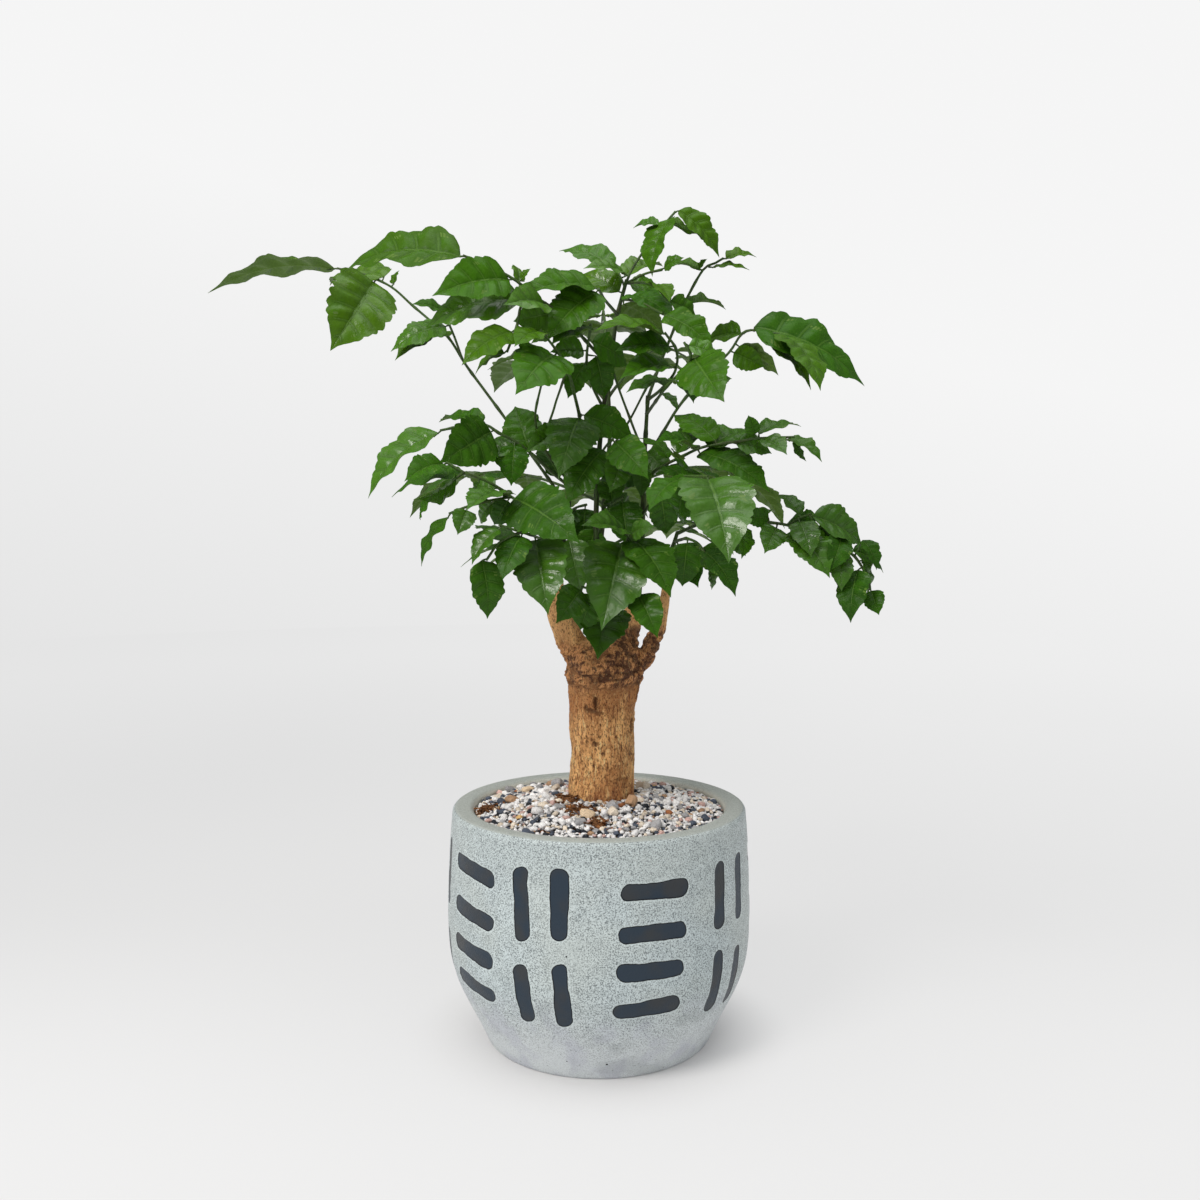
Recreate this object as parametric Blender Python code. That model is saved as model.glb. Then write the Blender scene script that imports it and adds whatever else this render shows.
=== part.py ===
"""Potted china doll plant.

A thick clay pot holds soil and a dressing of small pebbles. A cut-back woody trunk stands in the
soil, and leafy stems grow from its crown with compound leaves of toothed leaflets.

Lengths are in metres. The foliage is written down in millimetres as it is drawn on the upright
plane through the trunk, seen from the eye, and each point is moved along its line of sight to its
real depth. Heights start at the underside of the pot, and depth grows away from the eye.
"""

import math
import random

import bmesh
import bpy
from mathutils import Vector
from mathutils.bvhtree import BVHTree

MM = 0.001

# Clear gaps between neighbouring pieces, in millimetres
GAP = 0.3
SIDE_GAP = 0.45

# Driving sizes of the pot, its filling and the trunk, in millimetres
POT_HEIGHT = 175
POT_SIDES = 32
POT_WALL = (
    (84, 0), (87, 5), (93, 18), (100, 32), (105, 42.5), (109, 53), (112, 66), (113.4, 84), (113.4, 108),
    (112, 142),
)
LIP_OUTER = 110
LIP_INNER = 94
LIP_ROUND = 6
LIP_STEPS = 3
POT_INSIDE = ((97, 130), (97, 80), (91, 50), (80, 28), (66, 17))
POT_FLOOR = 15
POT_FLOOR_RADIUS = 58

SOIL_EDGE_TOP = 158
SOIL_CROWN_TOP = 168
GRAVEL_EDGE_TOP = 167
GRAVEL_CROWN_TOP = 181
GRAVEL_RINGS = 7
PEBBLE_RELIEF = 1.7
PEBBLE_SEED = 31

TRUNK_SIDES = 14
TRUNK_MIDDLE = 2
TRUNK_FOOT = ((20, 112), (25, 124), (25, 184))
TRUNK_STEM = (
    (23.8, 200, 2.8), (23.8, 220, 3.2), (24.6, 240, 2.8), (25.6, 258, 2.8),
    (27.8, 270, 3.2), (28.8, 281, 3.4), (26.5, 291, 3.4), (19, 299, 3.2),
)
TRUNK_TOP = 303
TRUNK_LOBE = 0.035
# Lobes round the trunk: how many, how far they turn a millimetre of height, and their share
TRUNK_LOBES = ((3, 0.05, 1), (5, -0.11, 0.6))
LIMB_SIDES = 8

# The eye that the foliage was drawn from, in millimetres: across, depth, height
EYE = (0.8, -892, 397)

# Each limb of the trunk: route as drawn (across, height, depth) with its radius there
LIMBS = {
    "left": (
        (-6, 262, 0, 12), (-14, 284, -2, 11), (-23, 303, -4, 10), (-31.5, 322, -5, 8), (-31, 343, -5, 4.6),
    ),
    "middle": ((3, 284, 0, 11), (5, 305, 0, 8)),
    "right": ((10, 262, 3, 13), (15.5, 287, 4, 13), (20, 304, 5, 11), (27, 320, 6, 7.5)),
    "low right": (
        (22, 268, -4, 8), (35.5, 288, -6, 6.2), (44, 307, -8, 5), (49, 328, -8, 4), (50, 338, -8, 3.2),
    ),
    "front": ((4, 280, -10, 8), (4, 298, -20, 6)),
    "back": ((2, 268, 8, 10), (4, 292, 22, 9), (2, 309, 26, 7)),
}

# Each leafy stem: the limb whose end it stands on, and its route from there as drawn
STEMS = {
    "left": ("left", ((-27, 372, -4), (-23, 398, -6), (-18, 432, -9), (-14, 465, -12))),
    "middle": (
        "middle",
        ((0, 340, 0), (-2, 380, 0), (-1, 420, 0), (3, 468, 0), (9, 505, 0), (13, 535, 0), (20, 562, -4)),
    ),
    "right": ("right", ((31, 360, 7), (33, 400, 7), (34, 440, 7), (36, 478, 7))),
    "low right": ("low right", ((53, 360, -10), (58, 378, -13))),
    "front": ("front", ((6, 330, -34), (14, 352, -50), (22, 374, -62))),
    "back": ("back", ((0, 350, 32), (4, 400, 38), (8, 450, 42), (6, 496, 46))),
}
STEM_SEAT = 4
STEM_RADIUS = (2.8, 1.6)
PETIOLE_RADIUS = (1.7, 1.15)
TWIG_RADIUS = (1.25, 1.15)
STEM_SIDES = 6
PETIOLE_SIDES = 4
ROUTE_STEP = 25
TUBE_END = 1.2

# The leaves reach this much further to the front and back than their written depths
DEPTH_SPREAD = 1.45

# Which way a leaflet turns to the eye
TOP = 1
UNDER = -1

# Each compound leaf: its stem, its rachis and side twigs as drawn (across, height, depth), and its
# leaflets (base across and height, tip across and height, seen width, face, then how far the tip
# lies behind its base, where that isn't left to the width). A route starts on what carries it, so
# its first point needs no depth.
LEAVES = {
    "far left": {
        "stem": "left",
        "routes": (
            ((-24, 394), (-33, 412, 6), (-50, 436, 12), (-73, 468, 18), (-98, 502, 24), (-110, 521, 26),
             (-137, 545, 28), (-152, 558, 28), (-172, 567, 28), (-190, 571, 28)),
            ((-100, 506), (-106, 522, 14), (-112, 536, 8)),
        ),
        "leaflets": (
            (-192, 571, -286, 554, 14, UNDER, -10),
            (-163, 563, -197, 512, 44, TOP),
            (-157, 565, -197, 560, 8, TOP, 30),
            (-150, 560, -146, 570, 4, TOP, 8),
            (-110, 524, -150, 506, 14, TOP, -34),
            (-111, 530, -153, 512, 16, TOP, -14),
            (-113, 539, -137, 546, 7, TOP, -12),
        ),
    },
    "upper left": {
        "stem": "middle",
        "routes": (
            ((8, 500), (-6, 515, -14), (-18, 528, -26), (-30, 540, -36), (-50, 553, -46), (-60, 562, -50),
             (-80, 573, -54), (-98, 580, -56)),
            ((-48, 552), (-57, 544, -52), (-60, 530, -58), (-67, 512, -60)),
        ),
        "leaflets": (
            (-98, 580, -187, 571, 24, TOP, 24),
            (-63, 563, -122, 552, 29, TOP, -24),
            (-57, 561, -62, 574, 7, TOP, 14),
            (-58, 562, -50, 571, 4, TOP, 12),
            (-57, 548, -128, 529, 27, TOP, 14),
            (-61, 527, -101, 502, 20, TOP, -18),
            (-68, 511, -91, 495, 6, TOP, 14),
            (-38, 545, -70, 545, 20, TOP, -36),
        ),
    },
    "top": {
        "stem": "middle",
        "routes": (
            ((13, 538), (4, 549, -16), (0, 556, -28)),
            ((19, 560), (25, 572, -4), (36, 588, -2), (48, 603, 0), (55, 611, 0)),
            ((20, 560), (33, 567, -12), (45, 570, -20)),
            ((19, 558), (13, 571, 8)),
            ((16, 549), (30, 547, -26), (46, 539, -42)),
            ((20, 561), (38, 560, -24), (50, 549, -40)),
        ),
        "leaflets": (
            (0, 556, -38, 520, 28, TOP, -22),
            (-3, 557, -60, 551, 15, TOP, 10),
            (13, 571, -29, 584, 14, TOP, 26),
            (19, 567, -11, 572, 8, TOP, -16),
            (18, 565, 47, 573, 10, TOP, 30),
            (45, 570, 62, 579, 8, TOP, -10),
            (22, 551, 55, 533, 16, TOP, -34),
            (45, 538, 84, 512, 18, TOP, -12),
            (18, 547, 48, 524, 18, UNDER, 26),
            (38, 560, 52, 548, 10, TOP, -30),
            (50, 548, 72, 532, 12, TOP, -18),
            (54, 609, 38, 566, 16, TOP, -14),
            (57, 612, 88, 579, 14, TOP, 6),
            (51, 604, 79, 588, 4, TOP, 28),
            (44, 602, 25, 600, 5, TOP, 12),
        ),
    },
    "small top right": {
        "stem": "right",
        "routes": (
            ((36, 477), (46, 505, 20), (56, 530, 22), (63, 547, 22), (76, 570, 20), (85, 575, 19),
             (90, 578, 18)),
        ),
        "leaflets": (
            (90, 578, 115, 580, 6, TOP, 10),
            (80, 572, 110, 570, 3.5, TOP, -16),
            (75, 571, 48, 573, 4, TOP, 16),
            (73, 571, 79, 578, 4, TOP, 6),
            (63, 546, 93, 542, 4, TOP, 20),
        ),
    },
    "upper middle": {
        "stem": "left",
        "routes": (
            ((-14, 464), (-18, 480, -24), (-22, 495, -34), (-29, 509, -44), (-42, 526, -52)),
        ),
        "leaflets": (
            (-32, 509, -61, 481, 40, TOP),
            (-22, 495, -48, 487, 8, TOP, 24),
            (-42, 527, -62, 515, 16, TOP, -30),
            (-14, 465, -30, 418, 36, TOP),
            (-12, 465, 27, 447, 22, TOP, -26),
        ),
    },
    "middle fan": {
        "stem": "middle",
        "routes": (
            ((3, 470), (-5, 487, -12), (-9, 505, -20), (-6, 530, -26)),
            ((0, 434), (5, 442, -16), (10, 447, -26)),
        ),
        "leaflets": (
            (-10, 505, -23, 477, 16, TOP, -30),
            (-5, 530, -35, 517, 14, TOP, -38),
            (-8, 520, 22, 500, 18, TOP, 24),
            (10, 447, 37, 418, 26, TOP, -26),
            (4, 443, -24, 400, 26, TOP, -14),
        ),
    },
    "middle left": {
        "stem": "left",
        "routes": (
            ((-21, 412), (-36, 424, -10), (-50, 437, -14), (-62, 446, -16), (-74, 452, -18), (-84, 458, -18),
             (-100, 457, -20), (-116, 454, -22)),
        ),
        "leaflets": (
            (-50, 438, -62, 472, 28, TOP, 22),
            (-52, 436, -81, 434, 18, TOP, 28),
            (-78, 453, -118, 430, 34, TOP, -34),
            (-84, 458, -118, 460, 8, TOP, 26),
            (-116, 453, -172, 405, 17, TOP, -8),
            (-62, 446, -65, 413, 20, TOP, 26),
            (-28, 418, -46, 440, 16, TOP, 24),
        ),
    },
    "left": {
        "stem": "left",
        "routes": (
            ((-27, 374), (-45, 392, -36), (-65, 405, -60), (-78, 414, -64), (-89, 419, -66), (-100, 423, -68),
             (-112, 430, -68)),
            ((-65, 405), (-82, 402, -76), (-97, 398, -82), (-110, 393, -84)),
            ((-100, 423), (-112, 414, -76), (-124, 406, -80)),
        ),
        "leaflets": (
            (-65, 405, -14, 371, 40, TOP, -40),
            (-67, 407, -98, 396, 12, TOP, -44),
            (-78, 403, -88, 385, 10, TOP, 16),
            (-97, 398, -105, 377, 16, TOP, -12),
            (-110, 392, -133, 354, 8, TOP, -6),
            (-112, 430, -144, 417, 16, TOP, -24),
            (-98, 423, -154, 406, 10, TOP, 14),
            (-103, 421, -135, 403, 13, TOP, -22),
            (-124, 405, -133, 388, 5, TOP, 2),
            (-88, 419, -91, 408, 5, TOP, -8),
        ),
    },
    "inner left": {
        "stem": "left",
        "routes": (
            ((-24, 392), (-17, 397, 12), (-10, 399, 18)),
        ),
        "leaflets": (
            (-10, 399, -13, 364, 24, TOP, -10),
            (-16, 396, -31, 372, 15, TOP, 12),
        ),
    },
    "inner middle": {
        "stem": "middle",
        "routes": (
            ((-2, 384), (8, 398, -10), (17, 404, -14)),
        ),
        "leaflets": (
            (17, 404, 22, 368, 24, TOP, -12),
            (9, 399, 12, 428, 18, TOP, 16),
        ),
    },
    "inner right": {
        "stem": "right",
        "routes": (
            ((34, 428), (27, 434, -12), (19, 436, -20)),
        ),
        "leaflets": (
            (19, 436, 8, 408, 20, TOP, -14),
            (28, 434, 31, 404, 15, TOP, -10),
        ),
    },
    "low left": {
        "stem": "left",
        "routes": (
            ((-29, 356), (-36, 368, -34), (-48, 376, -66), (-58, 379, -78), (-73, 384, -84)),
            ((-58, 379), (-74, 371, -82), (-83, 359, -84)),
        ),
        "leaflets": (
            (-48, 375, -38, 318, 38, TOP),
            (-57, 377, -72, 343, 22, TOP, -22),
            (-72, 384, -95, 355, 13, TOP, -10),
            (-87, 358, -83, 314, 23, TOP, 4),
        ),
    },
    "upper right middle": {
        "stem": "right",
        "routes": (
            ((36, 476), (46, 484, -10), (56, 497, -24), (57, 512, -32), (49, 524, -36)),
        ),
        "leaflets": (
            (55, 515, 12, 512, 16, TOP, -12),
            (48, 525, -4, 527, 8, TOP, -22),
            (57, 500, 15, 492, 16, TOP, -26),
            (53, 490, 20, 482, 9, TOP, -22),
            (45, 482, 58, 468, 6, TOP, -8),
        ),
    },
    "upper right": {
        "stem": "right",
        "routes": (
            ((34, 430), (40, 441, 14), (47, 452, 18), (58, 470, 22), (72, 487, 26), (95, 510, 28),
             (108, 526, 28), (132, 524, 24)),
        ),
        "leaflets": (
            (114, 529, 196, 487, 30, TOP, 18),
            (116, 524, 157, 484, 15, TOP, -22),
            (134, 523, 164, 484, 16, TOP, -14),
            (100, 517, 132, 494, 12, UNDER, -10),
            (106, 525, 78, 518, 12, TOP, 24),
        ),
    },
    "right fan": {
        "stem": "right",
        "routes": (
            ((35, 466), (50, 486, -40), (67, 505, -56), (63, 517, -58)),
        ),
        "leaflets": (
            (62, 518, 92, 502, 12, TOP, 26),
            (70, 506, 92, 475, 38, TOP, -26),
            (54, 490, 70, 474, 8, TOP, -30),
        ),
    },
    "right": {
        "stem": "right",
        "routes": (
            ((33, 408), (38, 420, -10), (46, 427, -22), (60, 434, -34), (75, 441, -40), (90, 444, -43),
             (105, 446, -45), (117, 448, -46), (143, 449, -50)),
        ),
        "leaflets": (
            (78, 443, 118, 450, 14, TOP, 34),
            (118, 450, 149, 457, 8, TOP, 22),
            (116, 449, 110, 465, 10, TOP, 16),
            (119, 447, 139, 436, 13, TOP, -26),
            (136, 448, 165, 431, 8, TOP, -14),
            (146, 448, 153, 431, 6, TOP, 2),
            (86, 446, 54, 465, 18, TOP, 30),
            (72, 441, 42, 446, 7, TOP, -26),
            (74, 438, 127, 408, 20, TOP, -16),
            (52, 432, 28, 449, 8, TOP, 20),
            (48, 428, 64, 416, 14, TOP, -28),
            (62, 434, 78, 420, 14, TOP, -30),
        ),
    },
    "front right": {
        "stem": "right",
        "routes": (
            ((33, 392), (46, 410, -40), (62, 420, -70), (80, 420, -84)),
        ),
        "leaflets": (
            (62, 419, 37, 395, 18, TOP, -28),
            (80, 419, 97, 357, 48, TOP),
            (46, 409, 50, 377, 20, TOP, 14),
            (70, 420, 60, 386, 22, TOP, 10),
        ),
    },
    "low right": {
        "stem": "low right",
        "routes": (
            ((58, 378), (80, 386, -12), (112, 386, -16), (126, 386, -18), (140, 384, -19), (150, 379, -20),
             (162, 371, -21), (178, 367, -22), (190, 361, -22), (200, 345, -24), (202, 337, -24)),
            ((140, 384), (148, 389, -20), (156, 392, -22)),
        ),
        "leaflets": (
            (150, 391, 132, 407, 10, TOP, 20),
            (112, 388, 131, 394, 8, TOP, 22),
            (132, 383, 123, 363, 20, TOP, -26),
            (142, 382, 172, 345, 24, TOP, -24),
            (149, 380, 166, 368, 12, TOP, -24),
            (156, 392, 196, 368, 20, TOP, 16),
            (188, 364, 212, 349, 10, TOP, 14),
            (176, 366, 181, 335, 18, TOP, -16),
            (193, 351, 188, 311, 22, TOP, -16),
            (202, 338, 209, 317, 15, TOP, -12),
            (195, 358, 199, 329, 5, TOP, 16),
            (104, 386, 106, 359, 12, TOP, -16),
        ),
    },
    "low right fan": {
        "stem": "low right",
        "routes": (
            ((56, 372), (66, 374, -34), (75, 369, -50), (82, 354, -56)),
        ),
        "leaflets": (
            (75, 368, 102, 331, 18, TOP, -16),
            (82, 352, 84, 336, 6, TOP, 4),
            (58, 371, 74, 338, 24, TOP, -26),
        ),
    },
    "front": {
        "stem": "front",
        "routes": (
            ((6, 330), (-4, 336, -52), (-12, 338, -58)),
            ((8, 335), (19, 338, -52), (28, 335, -58)),
        ),
        "leaflets": (
            (18, 370, 2, 306, 46, TOP),
            (26, 373, 54, 331, 28, TOP, -36),
            (21, 376, -13, 384, 14, TOP, -34),
            (24, 377, 42, 383, 14, TOP, -30),
            (5, 322, -1, 284, 38, TOP),
            (-12, 338, -32, 311, 24, TOP, -24),
            (28, 334, 44, 300, 22, TOP, -18),
        ),
    },
}

# Leaves at the back, which the drawing doesn't show: the height on the back stem that each starts
# at, its bearing (0 to the right, 90 to the back), its reach and its rise, in millimetres
BACK_LEAVES = (
    (350, 128, 118, 18), (364, 50, 124, 22), (388, 90, 142, 30), (400, 152, 126, 26), (404, 30, 116, 26),
    (472, 124, 122, 48), (478, 58, 122, 48), (494, 92, 110, 62),
)
BACK_PAIRS = (0.56, 0.86)
BACK_LEAFLET_LENGTH = (46, 64)
BACK_SPREAD = 58
BACK_SAG = 0.34
BACK_SEED = 12

# A leaflet's form: share of its length and of its half width along the edge, tip left out
LARGE_EDGE = ((0.07, 0.62), (0.26, 1.0), (0.35, 0.84), (0.56, 0.84), (0.65, 0.54), (0.85, 0.16))
SMALL_EDGE = ((0.12, 0.72), (0.38, 1.0), (0.6, 0.62), (0.84, 0.18))
LARGE_RIB = (0.22, 0.6)
SMALL_RIB = (0.4,)
LARGE_LENGTH = 54
EDGE_SKEW = 0.025
LEAFLET_WIDTH = 0.56
BLADE_THICKNESS = 0.8
BLADE_ARCH = 0.1
BLADE_FOLD = 0.16
BLADE_WAVE = 0.022
STALK_WIDTH = 0.9
SHORTEST_STALK = 3
# A base nearer to its carrier than this is drawn without a stalk
SEEN_STALK = 1.5

# Steps that a leaflet's tip may be drawn back or forth to pass its neighbours, in millimetres
CLEARING_STEPS = (0, -7, 7, -14, 14, -21, 21, -28, 28, -36, 36)
CLEARANCE = 2.2

# Edges that bend more than this stay sharp, in degrees
TURNED_SHARP = 30
PEBBLE_SHARP = 18
BARK_SHARP = 40
LEAF_SHARP = 50

FOLIAGE_GREEN = (0.045, 0.17, 0.02, 1)
BARK_BROWN = (0.3, 0.17, 0.08, 1)
GLAZE_GREY = (0.46, 0.53, 0.53, 1)
SOIL_BROWN = (0.05, 0.03, 0.02, 1)
PEBBLE_GREY = (0.5, 0.48, 0.45, 1)


def clear_scene():
    for obj in list(bpy.data.objects):
        bpy.data.objects.remove(obj)


def material(name, colour, roughness):
    made = bpy.data.materials.new(name)
    made.use_nodes = True
    shader = made.node_tree.nodes["Principled BSDF"]
    shader.inputs["Base Color"].default_value = colour
    shader.inputs["Roughness"].default_value = roughness
    return made


def mesh_object(name, points, faces, finish=None, smooth_angle=None):
    """A mesh object whose faces all point outwards."""
    mesh = bpy.data.meshes.new(name)
    mesh.from_pydata([tuple(point) for point in points], [], faces)
    work = bmesh.new()
    work.from_mesh(mesh)
    bmesh.ops.recalc_face_normals(work, faces=work.faces)
    work.to_mesh(mesh)
    work.free()
    if smooth_angle is not None:
        mesh.shade_smooth()
        mesh.set_sharp_from_angle(angle=math.radians(smooth_angle))
    obj = bpy.data.objects.new(name, mesh)
    bpy.context.scene.collection.objects.link(obj)
    if finish:
        obj.data.materials.append(finish)
    return obj


def ring_faces(ring_count, sides, closed=False):
    """Quads between neighbouring rings of points."""
    faces = []
    for ring in range(ring_count if closed else ring_count - 1):
        above = (ring + 1) % ring_count
        for side in range(sides):
            after = (side + 1) % sides
            faces.append((
                ring * sides + side,
                ring * sides + after,
                above * sides + after,
                above * sides + side,
            ))
    return faces


def turned(name, profile, sides, finish, smooth_angle=TURNED_SHARP, closed=False):
    """A turned solid. Each profile point holds a radius, a height and where its circle's middle is.

    An open profile starts and ends on the axis, and a closed one comes back to its first point.
    """
    rings = profile if closed else profile[1:-1]
    points = []
    for radius, height, middle in rings:
        for side in range(sides):
            angle = 2 * math.pi * side / sides
            points.append((middle + radius * math.cos(angle), radius * math.sin(angle), height))
    faces = ring_faces(len(rings), sides, closed)
    if not closed:
        for end, ring in ((profile[0], 0), (profile[-1], len(rings) - 1)):
            pole = len(points)
            points.append((end[2], 0, end[1]))
            for side in range(sides):
                after = (side + 1) % sides
                faces.append((pole, ring * sides + side, ring * sides + after))
    points = [Vector(point) * MM for point in points]
    return mesh_object(name, points, faces, finish, smooth_angle)


def inside_radius(height):
    """The radius of the pot's inner wall at a height, in millimetres."""
    wall = [(LIP_INNER, POT_HEIGHT), (LIP_INNER, POT_HEIGHT - LIP_ROUND)] + list(POT_INSIDE)
    wall.append((wall[-1][0], POT_FLOOR))
    for (radius_a, top), (radius_b, low) in zip(wall, wall[1:]):
        if low <= height <= top:
            share = (top - height) / (top - low)
            return radius_a + (radius_b - radius_a) * share
    return wall[-1][0]


def make_pot(finish):
    profile = [(0, 0)] + list(POT_WALL)
    for step in range(LIP_STEPS + 1):
        angle = math.radians(90 * step / LIP_STEPS)
        profile.append((
            LIP_OUTER - LIP_ROUND * (1 - math.cos(angle)),
            POT_HEIGHT - LIP_ROUND * (1 - math.sin(angle)),
        ))
    for step in range(LIP_STEPS + 1):
        angle = math.radians(90 * step / LIP_STEPS)
        profile.append((
            LIP_INNER + LIP_ROUND * (1 - math.sin(angle)),
            POT_HEIGHT - LIP_ROUND * (1 - math.cos(angle)),
        ))
    profile += POT_INSIDE
    profile += [(POT_FLOOR_RADIUS, POT_FLOOR), (0, POT_FLOOR)]
    return turned("pot", [(radius, height, 0) for radius, height in profile], POT_SIDES, finish)


def make_soil(finish):
    """The soil fills the pot under the pebbles, with a plain hole for the trunk's foot."""
    profile = [(0, POT_FLOOR + GAP, 0), (POT_FLOOR_RADIUS, POT_FLOOR + GAP, 0)]
    for radius, height in reversed(POT_INSIDE):
        profile.append((radius - SIDE_GAP, height + GAP / 2, 0))
    profile.append((inside_radius(SOIL_EDGE_TOP) - SIDE_GAP, SOIL_EDGE_TOP, 0))
    (foot_radius, foot), (trunk_radius, shoulder), _ = TRUNK_FOOT
    profile += [
        (trunk_radius + SIDE_GAP, SOIL_CROWN_TOP, TRUNK_MIDDLE),
        (trunk_radius + SIDE_GAP, shoulder - GAP, TRUNK_MIDDLE),
        (foot_radius + GAP, foot - GAP, TRUNK_MIDDLE),
        (0, foot - GAP, TRUNK_MIDDLE),
    ]
    return turned("soil", profile, POT_SIDES, finish)


def make_gravel(finish):
    """A domed ring of pebbles round the trunk, its stones raised from the surface by rule."""
    inner = TRUNK_FOOT[-1][0] + SIDE_GAP
    draw = random.Random(PEBBLE_SEED)
    outer_low = inside_radius(SOIL_EDGE_TOP + GAP) - SIDE_GAP
    outer_top = inside_radius(GRAVEL_EDGE_TOP) - SIDE_GAP
    profile = [(inner, SOIL_CROWN_TOP + GAP, TRUNK_MIDDLE), (outer_low, SOIL_EDGE_TOP + GAP, 0)]
    for ring in range(GRAVEL_RINGS + 1):
        share = ring / GRAVEL_RINGS
        radius = outer_top + (inner - outer_top) * share
        rise = math.sin(share * math.pi / 2)
        height = GRAVEL_EDGE_TOP + (GRAVEL_CROWN_TOP - GRAVEL_EDGE_TOP) * rise
        profile.append((radius, height, TRUNK_MIDDLE * share))
    gravel = turned("gravel", profile, POT_SIDES, finish, smooth_angle=PEBBLE_SHARP, closed=True)
    first_stone = 3 * POT_SIDES
    last_stone = (len(profile) - 1) * POT_SIDES
    for vertex in gravel.data.vertices[first_stone:last_stone]:
        vertex.co.z += draw.uniform(-PEBBLE_RELIEF, PEBBLE_RELIEF) * MM
    return gravel


def from_drawing(across, height, depth):
    """The real place of a drawn point that lies at this depth, in metres."""
    reach = (depth - EYE[1]) / -EYE[1]
    return Vector((
        EYE[0] + (across - EYE[0]) * reach,
        depth,
        EYE[2] + (height - EYE[2]) * reach,
    )) * MM


def to_drawing(place):
    """The across and height of a real place in the drawing, in millimetres."""
    reach = (place.y / MM - EYE[1]) / -EYE[1]
    return Vector((
        EYE[0] + (place.x / MM - EYE[0]) / reach,
        EYE[2] + (place.z / MM - EYE[2]) / reach,
    ))


def smooth_route(places, step):
    """A curve through the places, as points about one step apart."""
    route = [places[0]]
    for index in range(len(places) - 1):
        here, there = places[index], places[index + 1]
        before = places[index - 1] if index else here * 2 - there
        after = places[index + 2] if index + 2 < len(places) else there * 2 - here
        count = max(1, round((there - here).length / step))
        for part in range(1, count + 1):
            t = part / count
            route.append(0.5 * (
                2 * here
                + (there - before) * t
                + (2 * before - 5 * here + 4 * there - after) * t ** 2
                + (3 * here - before - 3 * there + after) * t ** 3
            ))
    return route


def nearest_on(routes, across, height):
    """The point of the routes that is drawn nearest to this place."""
    drawn = Vector((across, height))
    best = None
    for route in routes:
        for start, end in zip(route, route[1:]):
            a, b = to_drawing(start), to_drawing(end)
            along = b - a
            share = 0 if along.length == 0 else max(0, min(1, (drawn - a).dot(along) / along.length_squared))
            distance = (a + along * share - drawn).length
            if best is None or distance < best[0]:
                best = (distance, start.lerp(end, share))
    return best[1]


def tube(route, radii, sides):
    """Points and faces of a closed tube that follows a route. Its radius runs from one to the other."""
    points = []
    aside = None
    route = route[:-1] + [route[-1] + (route[-1] - route[-2]).normalized() * TUBE_END * MM]
    for index, place in enumerate(route):
        ahead = route[min(index + 1, len(route) - 1)] - route[max(index - 1, 0)]
        ahead.normalize()
        if aside is None:
            aside = ahead.orthogonal().normalized()
        aside = (aside - ahead * aside.dot(ahead)).normalized()
        other = ahead.cross(aside)
        radius = radii[index] if len(radii) == len(route) else (
            radii[0] + (radii[1] - radii[0]) * index / (len(route) - 1)
        )
        for side in range(sides):
            angle = 2 * math.pi * side / sides
            points.append(place + (aside * math.cos(angle) + other * math.sin(angle)) * radius * MM)
    faces = ring_faces(len(route), sides)
    faces.append(tuple(reversed(range(sides))))
    faces.append(tuple(range((len(route) - 1) * sides, len(route) * sides)))
    return points, faces


class Leaflet:
    """One leaflet: where its stalk leaves the rachis, its base, its tip, and how it faces."""

    def __init__(self, root, base, tip, normal, width, phase):
        along = (tip - base).normalized()
        stalk = max((base - root).length, SHORTEST_STALK * MM)
        direction = (base - root).normalized() if (base - root).length > SEEN_STALK * MM else along
        self.root = root
        self.base = root + direction * stalk
        self.tip = tip
        self.length = (tip - self.base).length
        self.along = (tip - self.base).normalized()
        self.normal = (normal - self.along * normal.dot(self.along)).normalized()
        self.side = self.normal.cross(self.along)
        self.stalk_side = self.normal.cross(direction).normalized()
        self.stalk_lift = direction.cross(self.stalk_side).normalized()
        self.base_side = self.normal.cross(direction + self.along).normalized()
        self.width = width
        self.phase = phase

    def place(self, t, across, lift=0.0):
        """A point of the blade: t runs along it, across from -1 to 1 over its full width."""
        arch = BLADE_ARCH * self.length * 4 * t * (1 - t)
        fold = BLADE_FOLD * abs(across) * self.width / 2
        wave = BLADE_WAVE * self.length * across * math.sin(5 * math.pi * t + self.phase)
        return (
            self.base.lerp(self.tip, t)
            + self.side * across * self.width / 2
            + self.normal * (arch + fold + wave + lift)
        )


def zip_faces(outer, inner):
    """Triangles between two chains of (t, point) that end at one point."""
    faces = []
    i = j = 0
    while i < len(outer) - 1 or j < len(inner) - 1:
        step_outer = j == len(inner) - 1 or (i < len(outer) - 1 and outer[i + 1][0] <= inner[j + 1][0])
        if step_outer:
            face = (outer[i][1], outer[i + 1][1], inner[j][1])
            i += 1
        else:
            face = (outer[i][1], inner[j + 1][1], inner[j][1])
            j += 1
        if len(set(face)) == 3:
            faces.append(face)
    return faces


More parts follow.
